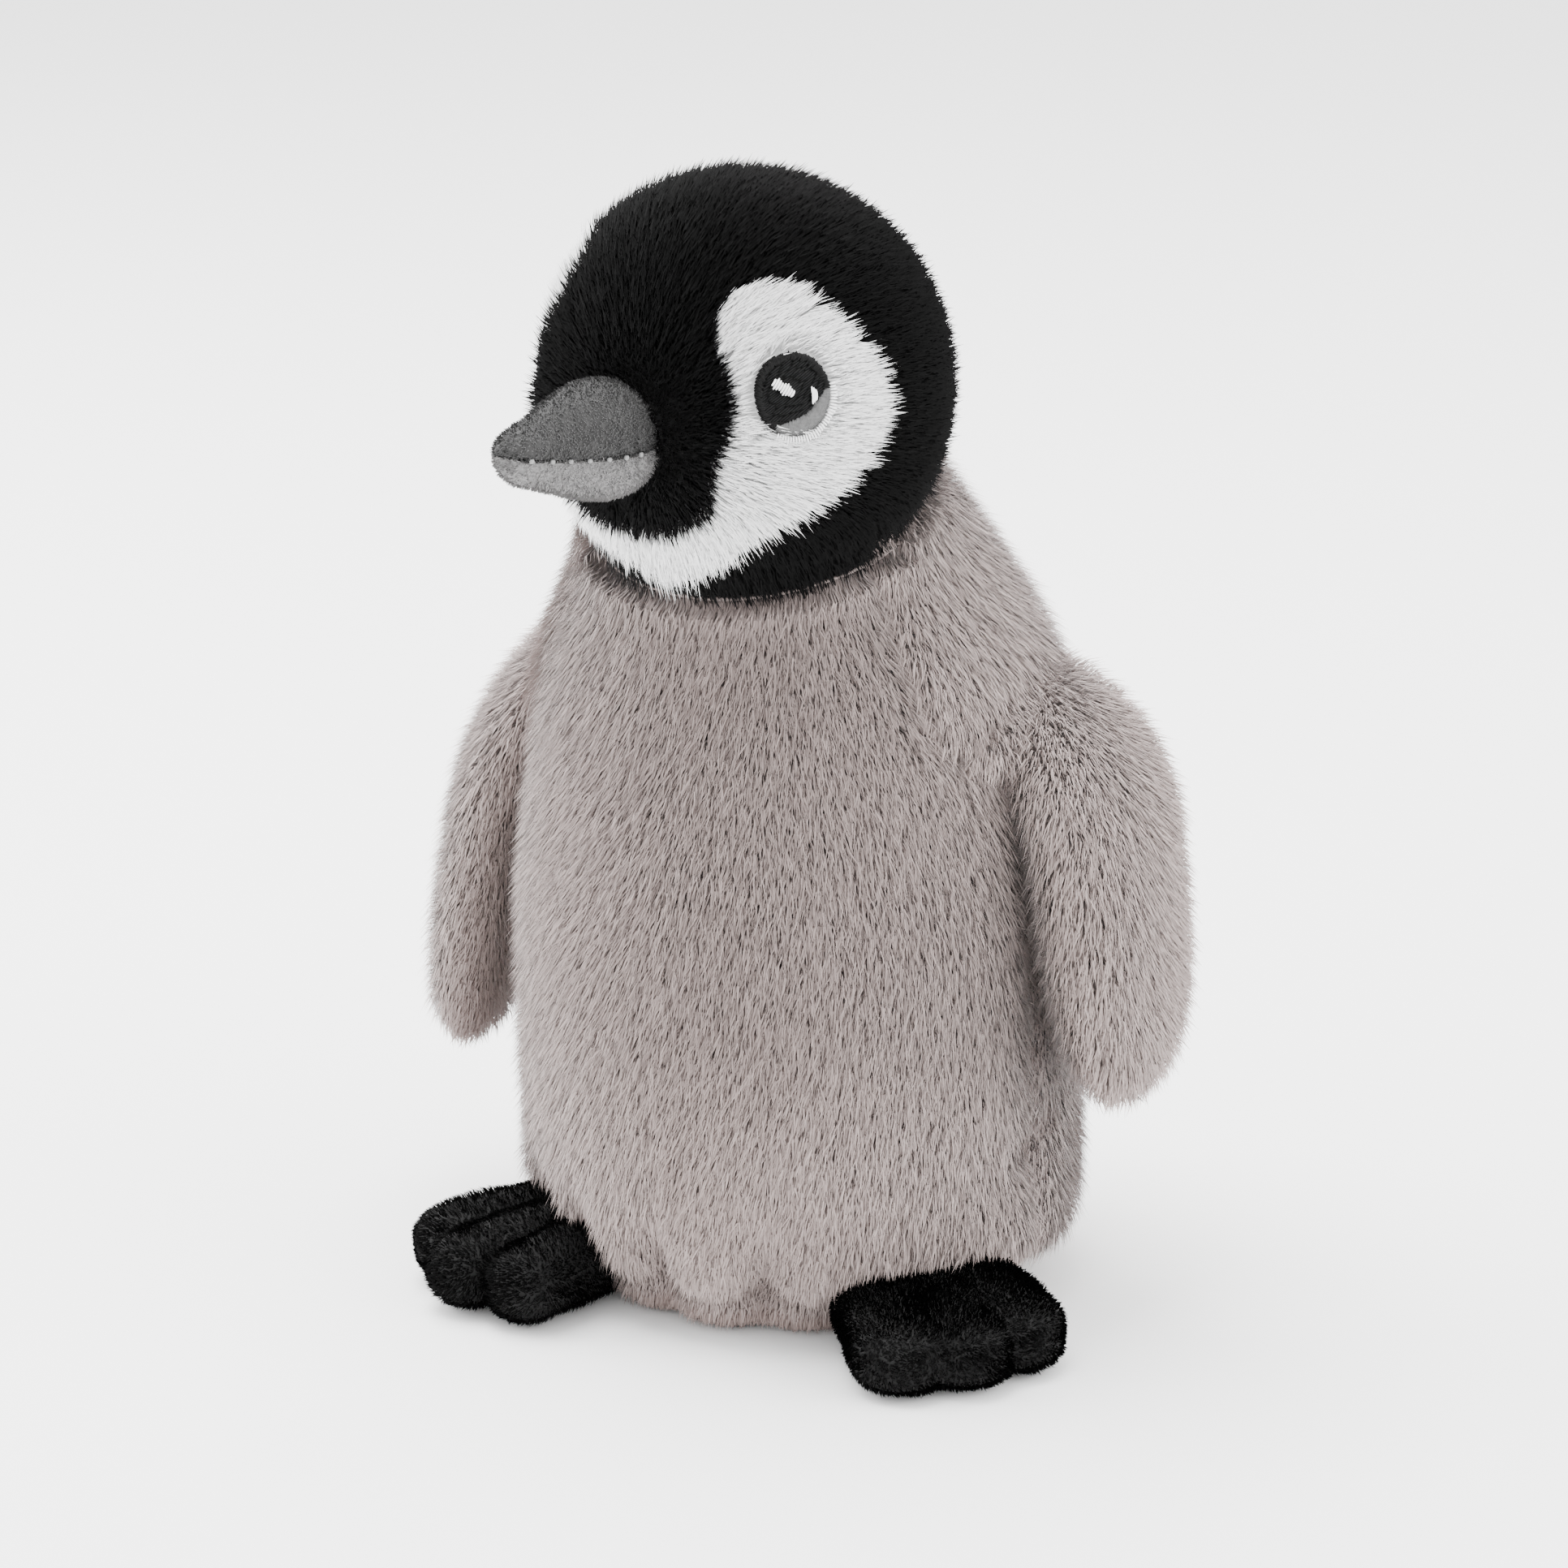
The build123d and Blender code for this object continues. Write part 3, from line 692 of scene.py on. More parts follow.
def face_frame():
    """Left, back and up of the face, from the nod axis and the beak's tip."""
    left = Vector(joints["head_nod"]["axis"]).normalized()
    tip = max((v.co for v in nodes["beak_upper"].data.vertices), key=lambda p: (p - head_middle).length)
    back = -(tip - head_middle)
    back = (back - left * back.dot(left)).normalized()
    up = left.cross(back)
    droop = Matrix.Rotation(math.radians(2.1), 3, left)
    return Matrix((left, droop @ back, droop @ up)).transposed()


EYE_AZIMUTH, EYE_ELEVATION = 52.0, 10.6     # degrees on the head's ball
HEAD_SQUEEZE = (0.975, 0.985, 1.0)          # width and depth of the ball as shares of its height
EYE_SINK, CHIN_SINK = 1.0 * MM, 0.9 * MM
BEAK_COSINE = 0.9965                        # keeps the angle from the beak's middle off zero
BAND_DROPS = (2.0 * MM, 3.6 * MM)           # how far the white band comes down under the beak
RIGHT_PATCH_BACK = 3.2 * MM                 # how far the right patch's front edge sits back
BARE_EYE = (11.0, 11.8)                     # degrees round the eye that grow no pile
face = face_frame()
face_rows = np.array(face)
head_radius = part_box("head_panel_left")[1].z - head_middle.z


def on_face(azimuth, elevation):
    a, e = math.radians(azimuth), math.radians(elevation)
    return face @ Vector((math.sin(a) * math.cos(e), -math.cos(a) * math.cos(e), math.sin(e)))


def head_skin():
    bm = bmesh.new()
    bmesh.ops.create_icosphere(bm, subdivisions=6, radius=1.0)
    mesh = bpy.data.meshes.new("head_cover")
    bm.to_mesh(mesh)
    bm.free()
    mesh.polygons.foreach_set("use_smooth", [True] * len(mesh.polygons))
    return new_object("head_cover", mesh)


def make_head():
    skin = head_skin()
    ball = places(skin)
    azimuth = np.degrees(np.arctan2(np.abs(ball[:, 0]), -ball[:, 1]))
    elevation = np.degrees(np.arcsin(np.clip(ball[:, 2], -1, 1)))
    radius = head_radius - PILE_DEPTH + lumps(ball, 0.45, 3) * 0.25 * MM
    # the cloth sinks a little round the eye and along the chin's middle seam
    eye = np.array(face.transposed() @ on_face(EYE_AZIMUTH, EYE_ELEVATION + 1))
    mirrored = np.abs(ball) * [1, 0, 0] + ball * [0, 1, 1]
    from_eye = np.degrees(np.arccos(np.clip(mirrored @ eye, -1, 1)))
    radius = radius + EYE_SINK * (1 - step(from_eye, 9.0, 14.0))
    chin = hump(ball[:, 0], 0, 0.05) * step(elevation, -12, -22) * step(ball[:, 1], 0.3, -0.2)
    radius = radius - CHIN_SINK * chin
    shaped = (ball * HEAD_SQUEEZE * radius[:, None]) @ face_rows.T + np.array(head_middle)
    set_places(skin, shaped)
    normals = outward(skin)
    beak_way = unit(np.array([[0.0, -1.0, -0.08]]))[0] @ face_rows.T
    away = flat_to(-np.tile(beak_way, (len(ball), 1)), normals)
    down = flat_to(np.tile([0.0, 0.0, -1.0], (len(ball), 1)), normals)
    low = step(elevation, -12, -40)
    comb = away * (1 - 0.45 * low)[:, None] + down * (0.10 + 0.75 * low)[:, None]
    comb = flat_to(comb + lumps(ball, 0.6, 9)[:, None] * 0.12 * np.cross(normals, away), normals)
    beak_root = np.degrees(np.arccos(np.clip(-ball[:, 1] * BEAK_COSINE, -1, 1)))
    # strand tips, not their roots, follow the outline of the face patch
    beak_side = 1 - step(beak_root, 36, 44)
    share = (1.2 - 1.0 * low) * (1 - beak_side) + (0.15 - 0.55 * step(elevation, -8, -22)) * beak_side
    reach = FACE_PILE["length"] * FACE_PILE["lean"] * MM * share
    front = np.maximum(beak_side, 1 - step(azimuth, 55, 70))
    reach = np.where((ball[:, 0] < 0) & (elevation > -15), -RIGHT_PATCH_BACK * front, reach)
    below_beak = (1 - step(azimuth - 40 * (ball[:, 0] < 0), 22, 50)) * step(elevation, -10, -22)
    patches = tree_of("face_patch_left", "face_patch_right")
    white = np.zeros(len(ball), bool)
    for lower in BAND_DROPS:
        tips = shaped + comb * reach[:, None] + face_rows[:, 2] * (lower * below_beak)[:, None]
        ways = [Vector(tip).normalized() for tip in tips - np.array(head_middle)]
        white |= np.array([patches.ray_cast(head_middle, way)[0] is not None for way in ways])
    far = shaped + comb * (2.6 * MM) - np.array(head_middle)
    far_ball = unit(far @ face_rows) * np.where(ball[:, :1] < 0, [[-1, 1, 1]], [[1, 1, 1]])
    tip_from_eye = np.degrees(np.arccos(np.clip(far_ball @ eye, -1, 1)))
    bare = 1 - step(np.minimum(from_eye, tip_from_eye), *BARE_EYE)
    cover = (1 - bare) * step(beak_root, 12.0, 14.0)
    short = np.where(white, 0.76 + 0.24 * step(from_eye, 11, 15), 1.0)
    short = short * (0.6 + 0.4 * step(beak_root, 15, 32))
    short = short * (1 + 0.5 * step(elevation, -38, -50))
    comb_skin(skin, comb, pile=short, shade=0.5 + 0.08 * lumps(ball, 0.5, 12), cover=cover,
              fluff=np.where(white, 0.8 + 0.3 * step(from_eye, 11, 16), 1.0))
    skin.data.materials.append(black_backing)
    skin.data.materials.append(white_backing)
    loops = np.empty(len(skin.data.loops), np.int32)
    skin.data.loops.foreach_get("vertex_index", loops)
    white_face = white[loops].reshape(-1, 3).sum(1) >= 2
    skin.data.polygons.foreach_set("material_index", white_face.astype(np.int32))
    middles = (face_middles(skin) - np.array(head_middle)) @ face_rows
    left, back, under = middles[:, 0] > 0, middles[:, 1] > 0, middles[:, 2] < -12 * MM
    panels = {
        "crown_front": ~white_face & ~back & ~under, "crown_back": ~white_face & back & ~under,
        "chin": ~white_face & under, "face_left": white_face & left, "face_right": white_face & ~left}
    for seed, (panel, inside) in enumerate(panels.items(), 40):
        cloth = (HEAD_PILE, black_pile, "black_pile")
        if panel.startswith("face"):
            cloth = (FACE_PILE, white_pile, "white_pile")
        place_on_head(grow_part(skin, inside, panel + "_pile", *cloth, seed))
    names = [n for n in nodes if n.startswith(("head_", "chin_panel", "face_patch"))]
    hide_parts(*names)
    place_on_head(skin)


def place_on_head(piece):
    """The rim of the head stays sewn to the neck while the rest nods."""
    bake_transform(piece, "neck", "head", start=tuple(neck_middle), end=tuple(neck_middle + neck_up * 14 * MM))


# ------------------------------------------------------------------ eyes

EYE_HALF = 6.1 * MM         # half the eye's height
OVAL_WIDTH = 0.92           # its width as a share of its height
THREAD = 0.17 * MM          # half the thickness of the embroidery thread
RIM_STITCHES = 150


class EyeFrame:
    """Places points on the eye's dome from plane coordinates: back, up and height."""

    def __init__(self, side):
        sign = SIDES[side]
        self.sign = sign
        self.out = on_face(sign * EYE_AZIMUTH, EYE_ELEVATION)
        self.back = on_face(sign * (EYE_AZIMUTH + 90), 0)
        self.up = self.out.cross(self.back) if sign > 0 else self.back.cross(self.out)
        self.reach = head_radius - 2.7 * MM

    def at(self, back, up, height):
        flat = self.back * back + self.up * up
        rise = math.sqrt(max(self.reach**2 - flat.length_squared, 0))
        way = (flat + self.out * rise).normalized()
        return head_middle + way * (self.reach + height)

    def normal(self, back, up):
        return (self.at(back, up, 0) - head_middle).normalized()


def slanted(angle):
    """Unit steps along and across a direction in the eye's plane."""
    return (math.cos(angle), math.sin(angle)), (-math.sin(angle), math.cos(angle))


def thread(points, faces, eye, start, end, radius, height, arch=0.5, sides=6, steps=5):
    """A raised stitch from start to end in eye coordinates, sunk at both ends."""
    first = len(points)
    rows = []
    for k in range(steps + 1):
        t = k / steps
        back = start[0] + (end[0] - start[0]) * t
        up = start[1] + (end[1] - start[1]) * t
        lift = height + radius * arch * math.sin(math.pi * t) * 2 - radius * 0.6
        rows.append((eye.at(back, up, lift), eye.normal(back, up)))
    along = (rows[-1][0] - rows[0][0]).normalized()
    for k, (place, normal) in enumerate(rows):
        across = along.cross(normal).normalized()
        taper = 0.55 if k in (0, steps) else 1.0
        for s in range(sides):
            angle = 2 * math.pi * s / sides
            points.append(place + (across * math.cos(angle) + normal * math.sin(angle)) * radius * taper)
    faces.extend(ring_faces(first, steps + 1, sides, capped=True))


def make_eye(side):
    """Pupil, grey crescent and white glints, stitch by stitch."""
    eye = EyeFrame(side)
    rng = random.Random(7)

    def oval(angle, share=1.0):
        return (math.cos(angle) * EYE_HALF * OVAL_WIDTH * share, math.sin(angle) * EYE_HALF * share)

    def crescent(angle):
        """One at the lower back of the eye, where the grey thread is widest, down to nothing."""
        return math.exp(-((math.degrees(angle - 0.5) % 360 - 270) / 64.0) ** 4)

    def ground(points, faces):
        """The cloth disc under the stitches."""
        first, rings, around = len(points), 8, 48
        points.append(eye.at(0, 0, 0.22 * MM))
        for r in range(1, rings + 1):
            for k in range(around):
                back, up = oval(2 * math.pi * k / around, 0.97 * r / rings)
                points.append(eye.at(back, up, 0.22 * MM if r < rings else -0.4 * MM))
        for k in range(around):
            faces.append((first, first + 1 + k, first + 1 + (k + 1) % around))
        for r in range(rings - 1):
            for k in range(around):
                a, b = first + 1 + r * around + k, first + 1 + r * around + (k + 1) % around
                faces.append((a, a + around, b + around, b))

    def pupil(points, faces):
        ground(points, faces)
        rows = int(2 * EYE_HALF / (1.75 * THREAD))
        along, across = slanted(math.radians(32))
        for k in range(rows):
            off = -EYE_HALF + (k + 0.5) * 2 * EYE_HALF / rows
            half = math.sqrt(max(EYE_HALF**2 - off**2, 0)) * 0.90
            place = -half - rng.uniform(0, 1.0) * MM
            while place < half:
                stop = place + rng.uniform(1.9, 2.9) * MM
                a, b = max(place, -half), min(stop, half)
                if b - a > 0.5 * MM:
                    ends = [(along[0] * s + across[0] * off, along[1] * s + across[1] * off) for s in (a, b)]
                    middle = [(ends[0][i] + ends[1][i]) / 2 for i in (0, 1)]
                    angle = math.atan2(middle[1], middle[0])
                    limit = EYE_HALF * (1 - 0.50 * crescent(angle))
                    if math.hypot(*middle) < limit:
                        thread(points, faces, eye, *ends, THREAD, 0.30 * MM + rng.uniform(-0.05, 0.05) * MM)
                place = stop
        for k in range(RIM_STITCHES):
            angle = 2 * math.pi * k / RIM_STITCHES
            if crescent(angle) < 0.35:
                outer = oval(angle, 1.0 + rng.uniform(-0.02, 0.03))
                inner = oval(angle + 0.05, 0.80 + rng.uniform(-0.04, 0.04))
                thread(points, faces, eye, inner, outer, THREAD * 0.9, 0.42 * MM, arch=0.9)

    def grey_crescent(points, faces):
        for k in range(RIM_STITCHES):
            angle = 2 * math.pi * k / RIM_STITCHES
            depth = crescent(angle)
            if depth >= 0.3:
                outer = oval(angle, 0.97)
                inner = oval(angle + 0.04, 0.97 - 0.42 * depth + rng.uniform(-0.02, 0.02))
                thread(points, faces, eye, inner, outer, THREAD * 0.9, 0.40 * MM, arch=0.8)

    def glint(points, faces, middle, half, tilt, count):
        """A block of white stitches side by side."""
        along, across = slanted(tilt)
        for k in range(count):
            off = (k + 0.5) / count * 2 - 1
            reach = half[1] * (0.82 + 0.18 * math.sin(7 * off)) * math.sqrt(max(1 - abs(off) ** 6, 0.2))
            base = [middle[i] + along[i] * off * half[0] for i in (0, 1)]
            ends = [(base[0] + across[0] * s, base[1] + across[1] * s) for s in (-reach, reach)]
            thread(points, faces, eye, *ends, THREAD, 0.72 * MM, arch=0.9)

    def glints(points, faces):
        glint(points, faces, (-1.5 * MM, 1.1 * MM), (1.75 * MM, 0.95 * MM), math.radians(-36), 9)
        glint(points, faces, (2.9 * MM, -0.3 * MM), (0.40 * MM, 1.3 * MM), 0.0, 3)
        for k in range(34):
            angle = math.radians(-118 + 128 * k / 33)
            reach = 1.15 + rng.uniform(-0.03, 0.05)
            inner, outer = oval(angle, 0.97), oval(angle, reach)
            thread(points, faces, eye, inner, outer, THREAD * 0.8, 0.66 * MM, arch=0.9)

    for name, material, slot, draw, replaced in (
            ("eye_pupil_stitches_", charcoal_thread, "charcoal_thread", pupil, "eye_pupil_"),
            ("eye_crescent_stitches_", grey_thread, "grey_thread", grey_crescent, "eye_crescent_"),
            ("eye_glint_stitches_", white_thread, "white_thread", glints, "eye_glints_")):
        points, faces = [], []
        draw(points, faces)
        thread_piece(name + side, points, faces, material, replaced + side, "head")


# ------------------------------------------------------------------ beak

def beak_outline(share):
    """Half width, top and bottom of the beak, along its length, in millimetres of the face's frame."""
    keys = [
        (27.5, 6.4, 6.0, -7.4), (31.0, 7.5, 7.8, -9.2), (35.5, 7.9, 8.6, -9.4), (40.0, 7.4, 8.2, -8.2),
        (45.0, 6.0, 6.9, -6.2), (49.8, 5.0, 5.6, -4.3), (52.8, 4.2, 4.9, -3.0), (54.7, 2.7, 3.7, -1.2)]
    return smooth_path(keys, share)


BEAK_ROWS, BEAK_AROUND = 56, 96
SEAM_STITCHES, SEAM_START, SEAM_PITCH = 7, 33.6, 3.3    # count, first distance and spacing in millimetres


def beak_seam_height(distance):
    """The seam climbs towards the tip, with a slight sag."""
    share = np.clip((distance - 31.0) / 24.0, 0, 1)
    return -2.2 + 3.8 * share - 0.5 * math.sin(math.pi * share)


def beak_skin(above):
    """The upper or the lower half, closed along the seam."""
    shares = np.linspace(0, 1, BEAK_ROWS)
    rows = beak_outline(shares)
    points, faces = [], []
    half_count = BEAK_AROUND // 2
    for distance, half, top, bottom in rows:
        seam = np.clip(beak_seam_height(distance), bottom + 0.2, top - 0.2)
        reach = (top - seam) if above else (bottom - seam)
        for k in range(half_count + 1):
            angle = math.pi * k / half_count
            near_seam = min(k, half_count - k) / half_count
            pull = 1 - 0.075 * math.exp(-(near_seam / 0.055) ** 2)
            pucker = 1 - 0.02 * math.exp(-(near_seam / 0.10) ** 2) * math.cos(2 * math.pi * distance / 3.4)
            side = half * math.cos(angle) * pull * pucker
            lift = math.sin(angle) ** 0.92
            points.append(face_point(side, distance, seam + reach * lift))
    count = half_count + 1
    for row in range(BEAK_ROWS - 1):
        for k in range(half_count):
            a = row * count + k
            faces.append((a, a + 1, a + 1 + count, a + count))
        a, b = row * count, row * count + half_count
        faces.append((a, a + count, b + count, b))
    faces.append(tuple(range(count)))
    faces.append(tuple((BEAK_ROWS - 1) * count + k for k in range(count))[::-1])
    return points, faces


def face_point(side, distance, height):
    return head_middle + face @ Vector((side * MM, -distance * MM, height * MM))


def make_beak():
    for above, name, cloth, nap, slot in (
            (True, "beak_upper", beak_dark_cloth, beak_dark_nap, "beak_dark"),
            (False, "beak_lower", beak_light_cloth, beak_light_nap, "beak_light")):
        skin = mesh_object(name + "_cover", *beak_skin(above))
        fix_normals(skin)
        found, normals = places(skin), outward(skin)
        found = found + normals * (lumps(found, 2.2 * MM, 4) * 0.10 * MM - 0.35 * MM)[:, None]
        set_places(skin, found)
        normals = outward(skin)
        forward = np.tile(np.array(face @ Vector((0, -1, 0))), (len(found), 1))
        comb_skin(skin, flat_to(forward, normals), shade=0.5 + 0.16 * lumps(found, 2.6 * MM, 6))
        skin.data.materials.append(cloth)
        fuzz = grow(skin, name + "_nap", BEAK_PILE, nap, 60 + above)
        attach(fuzz, "head")
        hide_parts(*([name, "beak_stuffing"] if above else [name]))
        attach(skin, "head")
    points, faces = [], []
    shares = np.linspace(0, 1, 60)
    lengths = beak_outline(shares)[:, 0]
    for sign in (1, -1):
        for k in range(SEAM_STITCHES):
            distance = SEAM_START + SEAM_PITCH * k
            share = np.interp(distance, lengths, shares)
            half = beak_outline(np.array([share]))[0][1] * 0.925
            height = beak_seam_height(distance)
            bump(points, faces, face_point(sign * half, distance, height), 0.42 * MM)
    thread_piece("beak_seam_stitches", points, faces, seam_thread, "beak_seam", "head")


def bump(points, faces, middle, radius):
    """A small round stitch end."""
    first, rings, around = len(points), 4, 8
    for r in range(1, rings):
        for k in range(around):
            a, b = math.pi * r / rings, 2 * math.pi * k / around
            way = Vector((math.sin(a) * math.cos(b), math.sin(a) * math.sin(b), math.cos(a)))
            points.append(middle + way * radius)
    faces.extend(ring_faces(first, rings - 1, around, capped=True))


# ------------------------------------------------------------------ wings

WING_KEYS = [   # side, depth, height of the middle, half thickness, half chord
    (35.0, 7.0, 98.0, 2.6, 7.0), (41.0, 6.0, 94.5, 4.0, 9.6), (46.4, 5.0, 87.5, 5.2, 12.2),
    (50.6, 4.2, 77.0, 5.8, 13.4), (53.0, 3.6, 63.5, 5.6, 13.4), (54.4, 3.2, 51.0, 4.9, 12.2),
    (55.0, 3.0, 42.0, 3.6, 9.0), (55.0, 3.0, 38.0, 1.8, 4.6)]
WING_SWING = {"left": (0.0, 0.0), "right": (5.0, -5.5)}     # how far each tip hangs out and down
WING_ROWS, WING_AROUND = 60, 64
CHORD_TILT = math.radians(12)


def make_wing(side):
    """A flat padded wing, swept along its keys, with pile that grows clear of the torso only."""
    sign = SIDES[side]
    shares = np.linspace(0, 1, WING_ROWS)
    rows = smooth_path(WING_KEYS, shares) * MM
    rows[:, 0] += WING_SWING[side][0] * MM * shares**1.5
    rows[:, 2] += WING_SWING[side][1] * MM * shares
    points = []
    for k, (x, y, z, thick, chord) in enumerate(rows):
        ahead = Vector(rows[min(k + 1, WING_ROWS - 1)][:3]) - Vector(rows[max(k - 1, 0)][:3])
        ahead.normalize()
        chord_way = Vector((0.18, math.cos(CHORD_TILT), math.sin(CHORD_TILT)))
        chord_way = (chord_way - ahead * chord_way.dot(ahead)).normalized()
        out = chord_way.cross(ahead).normalized()
        out = out if out.x > 0 else -out
        for s in range(WING_AROUND):
            angle = 2 * math.pi * s / WING_AROUND
            place = Vector((x, y, z)) + out * math.sin(angle) * thick + chord_way * math.cos(angle) * chord
            points.append((place.x * sign, place.y, place.z))
    faces = ring_faces(0, WING_ROWS, WING_AROUND)
    root, tip = len(points), len(points) + 1
    points.append((rows[0][0] * sign, rows[0][1], rows[0][2]))
    points.append((rows[-1][0] * sign, rows[-1][1], rows[-1][2] - 1.2 * MM))
    last = (WING_ROWS - 1) * WING_AROUND
    for s in range(WING_AROUND):
        after = (s + 1) % WING_AROUND
        faces.append((root, s, after))
        faces.append((tip, last + after, last + s))
    skin = mesh_object("wing_cover_" + side, points, faces)
    fix_normals(skin)
    found, normals = places(skin), outward(skin)
    found = found + normals * (lumps(found, 9 * MM, 20 + sign) * 0.35 * MM)[:, None]
    set_places(skin, found)
    puff(skin, step(found[:, 2], 86 * MM, 94 * MM), 1.0 * MM)
    found, normals = places(skin), outward(skin)
    down = np.tile([0.12 * sign, 0.0, -1.0], (len(found), 1))
    middle_depth = np.interp(-found[:, 2], -rows[:, 2], rows[:, 1])
    spread = (found[:, 1] - middle_depth) / (14 * MM)
    comb = down + np.stack([np.zeros(len(found)), spread * 0.75, np.zeros(len(found))], 1)
    comb = flat_to(comb, normals)
    shade = 0.66 + 0.08 * lumps(found, 18 * MM, 31)
    clear = []
    for place in found:
        nearest, normal = torso_tree.find_nearest(Vector(place))[:2]
        clear.append((Vector(place) - nearest).dot(normal))
    comb_skin(skin, comb, shade=shade, cover=step(clear, -3.0 * MM, -0.5 * MM))
    skin.data.materials.append(grey_backing)
    middles = face_middles(skin)
    centre = np.interp(-middles[:, 2], -rows[:, 2], rows[:, 0])
    facing = middles[:, 0] * sign > centre
    for seed, (name, inside) in enumerate((("outer", facing), ("inner", ~facing)), 70 + 4 * (sign > 0)):
        title = "wing_%s_pile_%s" % (name, side)
        pile = grow_part(skin, inside, title, BODY_PILE, grey_pile, "grey_pile", seed)
        place_on_wing(pile, side)
    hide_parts(*["wing_%s_%s" % (part, side) for part in ("outer", "inner", "stuffing")])
    place_on_wing(skin, side)


def place_on_wing(piece, side):
    """The wing's root stays sewn to the torso while the rest lifts."""
    hinge = Vector(joints["wing_%s_lift" % side]["pos_m"])
    inward = Vector((-SIDES[side] * 8 * MM, 0, 6 * MM))
    outside = Vector((SIDES[side] * 3 * MM, 0, -9 * MM))
    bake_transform(piece, "torso", "wing_" + side, start=tuple(hinge + inward), end=tuple(hinge + outside))


# ------------------------------------------------------------------ feet

FOOT_MIDDLE = 11            # millimetres from the root to the middle that a foot is turned about
# Toes in millimetres: how far outward they sit, spread, lengths, half width and half height; how
# flat they are, where 1 is a ball; and the foot's turn in degrees
FEET = {
    "left": dict(outward=3.4, spread=9.6, toes=(22.4, 23.0, 19.0), half=7.5, tall=5.3, flat=0.42, turn=-8),
    "right": dict(outward=1.4, spread=10.6, toes=(15.8, 20.2, 16.4), half=6.2, tall=6.3, flat=0.80, turn=14)}


def make_foot(side):
    """Three padded toes melted into one foot."""
    root = Vector(joints["foot_%s_flex" % side]["pos_m"])
    out = Vector((root.x, root.y, 0)).normalized()
    across = Vector((-out.y, out.x, 0))
    reach = math.hypot(root.x, root.y)
    shape = FEET[side]
    turn = math.radians(shape["turn"])

    def at(u, v, z):
        """Along, across and up from the root, turned about the middle of the foot."""
        ahead = u - FOOT_MIDDLE
        along = FOOT_MIDDLE + ahead * math.cos(turn) - v * math.sin(turn)
        beside = v * math.cos(turn) + ahead * math.sin(turn)
        return out * (reach + along * MM) + across * (beside * MM) + Vector((0, 0, z * MM))

    bm = bmesh.new()
    outer = SIDES[side] * shape["outward"]
    for spread, length in zip((-shape["spread"], 0.0, shape["spread"]), shape["toes"]):
        for k in range(9):
            t = k / 8
            u, v = -6 + (length - shape["half"] + 6) * t, outer + spread * (0.70 + 0.30 * t)
            tall = shape["tall"] - 0.5 * t**2
            place = Matrix.Translation(at(u, v, tall + 0.9)) @ Matrix.Diagonal(
                (shape["half"] * MM, shape["half"] * MM, tall * MM, 1))
            made = bmesh.ops.create_uvsphere(bm, u_segments=20, v_segments=14, radius=1.0)["verts"]
            for vertex in made:
                vertex.co.z = math.copysign(abs(vertex.co.z) ** shape["flat"], vertex.co.z)
                vertex.co = place @ vertex.co
    mesh = bpy.data.meshes.new("foot_cover_" + side)
    bm.to_mesh(mesh)
    bm.free()
    skin = new_object("foot_cover_" + side, mesh)
    remesh = skin.modifiers.new("remesh", "REMESH")
    remesh.mode, remesh.voxel_size = "VOXEL", 0.7 * MM
    soften = skin.modifiers.new("soften", "SMOOTH")
    soften.iterations, soften.factor = 5, 0.5
    graph = bpy.context.evaluated_depsgraph_get()
    made = bpy.data.meshes.new_from_object(skin.evaluated_get(graph), depsgraph=graph)
    skin.modifiers.clear()
    skin.data = made
    made.polygons.foreach_set("use_smooth", [True] * len(made.polygons))
    found = places(skin)
    found[:, 2] = np.maximum(found[:, 2], 0.9 * MM)
    set_places(skin, found)
    normals = outward(skin)
    forward = np.tile(np.array(out), (len(found), 1)) + [0, 0, 0.15]
    stray = lumps(found, 3.5 * MM, 50)[:, None] * np.cross(normals, forward) * 0.5
    under = found[:, 2] < 1.1 * MM
    comb_skin(skin, flat_to(forward + stray, normals), shade=0.45 + 0.2 * lumps(found, 3 * MM, 44),
              pile=np.where(under, 0.35, 1.0), cover=np.where(under, 0.5, 1.0),
              fluff=np.where(under, 0.3, 1.0) * (1 + 0.25 * lumps(found, 2.2 * MM, 45)))
    skin.data.materials.append(black_backing)
    pile = grow(skin, "foot_pile_" + side, FOOT_PILE, foot_nap, 80 + SIDES[side])
    names = ["foot_%s_%s" % (part, side) for part in ("upper", "sole", "stuffing")]
    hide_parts(*names, "toe_stitches_" + side)
    start, end = tuple(root - out * 3 * MM), tuple(root + out * 6 * MM)
    for piece in (skin, pile):
        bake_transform(piece, "torso", "foot_" + side, start=start, end=end)


# ------------------------------------------------------------------ inside

def make_neck_thread():
    """The drawn thread that gathers the neck, deep in the groove between the covers."""
    radius, thick, around, sides = 24.5 * MM, 0.5 * MM, 96, 8
    side = Vector((1, 0, 0))
    back = neck_up.cross(side)
    points = []
    for k in range(around):
        angle = 2 * math.pi * k / around
        way = side * math.cos(angle) + back * math.sin(angle)
        for s in range(sides):
            turn = 2 * math.pi * s / sides
            outwards = way * (radius + thick * math.cos(turn))
            points.append(neck_middle + outwards + neck_up * thick * math.sin(turn))
    thread_piece("neck_gathering_thread", points, ring_faces(0, around, sides, closed=True), charcoal_thread,
                 "neck_thread", "neck", mend=False)


def make_closing_seam():
    """The ladder of stitches up the back, down among the roots of the pile."""
    cad = nodes["closing_seam"].data
    deeper = Vector((0, 3.3 * MM, 0))
    points = [v.co - deeper for v in cad.vertices]
    thread_piece("closing_seam_stitches", points, [p.vertices for p in cad.polygons], seam_thread,
                 "closing_seam", "torso", mend=False)


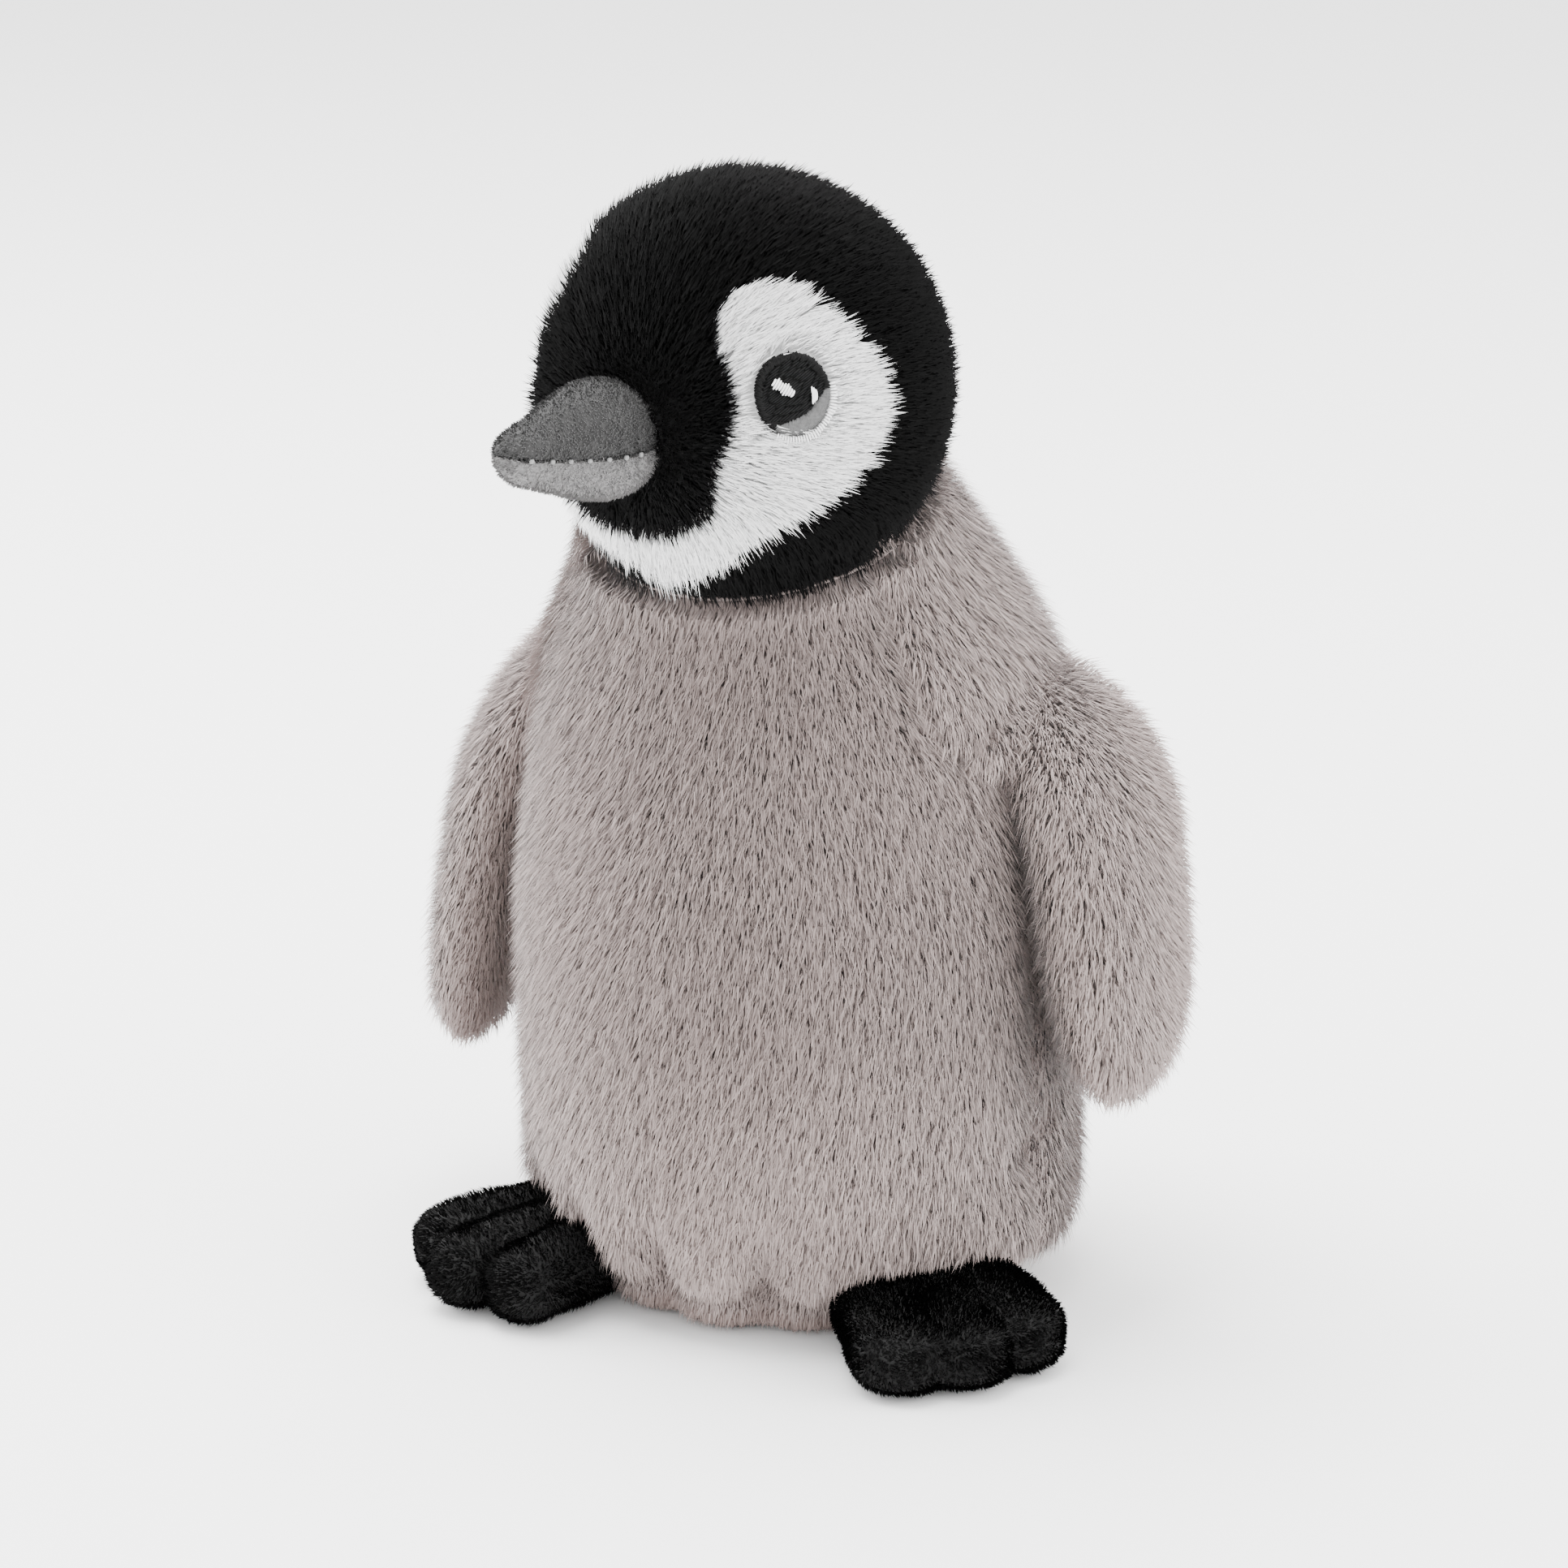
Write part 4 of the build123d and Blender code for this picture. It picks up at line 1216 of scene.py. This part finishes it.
def dress_inside():
    """Materials of the pieces that stay as they are."""
    for name, material in (("pellet_pouch", pouch_cloth), ("pellets", pellet_plastic)):
        for slot in nodes[name].material_slots:
            slot.material = material


# ------------------------------------------------------------------ studio

WORLD_LIGHT = 2.5
SOFTBOXES = (   # place, size in metres and power in watts
    ("top softbox", (-0.25, 0.05, 1.1), 0.9, 32.0),
    ("left softbox", (-1.0, -0.1, 0.5), 0.8, 14.0),
    ("right softbox", (1.0, 0.1, 0.5), 0.8, 10.0))
VIEW_AZIMUTH, VIEW_ELEVATION, VIEW_DISTANCE, LENS = 25, 17, 0.76, 111.2


def make_studio():
    half = 3
    corners = [(-half, -half, 0), (half, -half, 0), (half, half, 0), (-half, half, 0)]
    floor = mesh_object("floor", corners, [(0, 1, 2, 3)])
    material, _, shader = new_material("pale floor")
    shader.inputs["Base Color"].default_value = (0.99, 0.99, 0.99, 1)
    shader.inputs["Roughness"].default_value = 0.9
    floor.data.materials.append(material)
    world = bpy.data.worlds.new("studio")
    bpy.context.scene.world = world
    world.use_nodes = True
    back = world.node_tree.nodes["Background"]
    back.inputs[0].default_value = (1, 1, 1, 1)
    back.inputs[1].default_value = WORLD_LIGHT
    for name, place, size, power in SOFTBOXES:
        light = bpy.data.lights.new(name, "AREA")
        light.shape, light.size, light.energy = "SQUARE", size, power
        lamp = new_object(name, light)
        lamp.location = place
        lamp.rotation_euler = (Vector((0, 0, 0.09)) - Vector(place)).to_track_quat("-Z", "Y").to_euler()


def make_camera():
    azimuth, elevation = math.radians(VIEW_AZIMUTH), math.radians(VIEW_ELEVATION)
    out = Vector((math.sin(azimuth) * math.cos(elevation), -math.cos(azimuth) * math.cos(elevation),
                  math.sin(elevation)))
    right = Vector((math.cos(azimuth), math.sin(azimuth), 0))
    aim = Vector((0, 0, 79.3 * MM)) - right * 1.4 * MM
    camera = new_object("camera", bpy.data.cameras.new("camera"))
    camera.data.sensor_width = 36
    camera.data.lens = LENS
    camera.data.clip_start = 0.01
    camera.location = aim + out * VIEW_DISTANCE
    camera.rotation_euler = (-out).to_track_quat("-Z", "Y").to_euler()
    bpy.context.scene.camera = camera


make_torso()
make_head()
for side in SIDES:
    make_eye(side)
    make_wing(side)
    make_foot(side)
make_beak()
make_neck_thread()
make_closing_seam()
dress_inside()
make_studio()
make_camera()
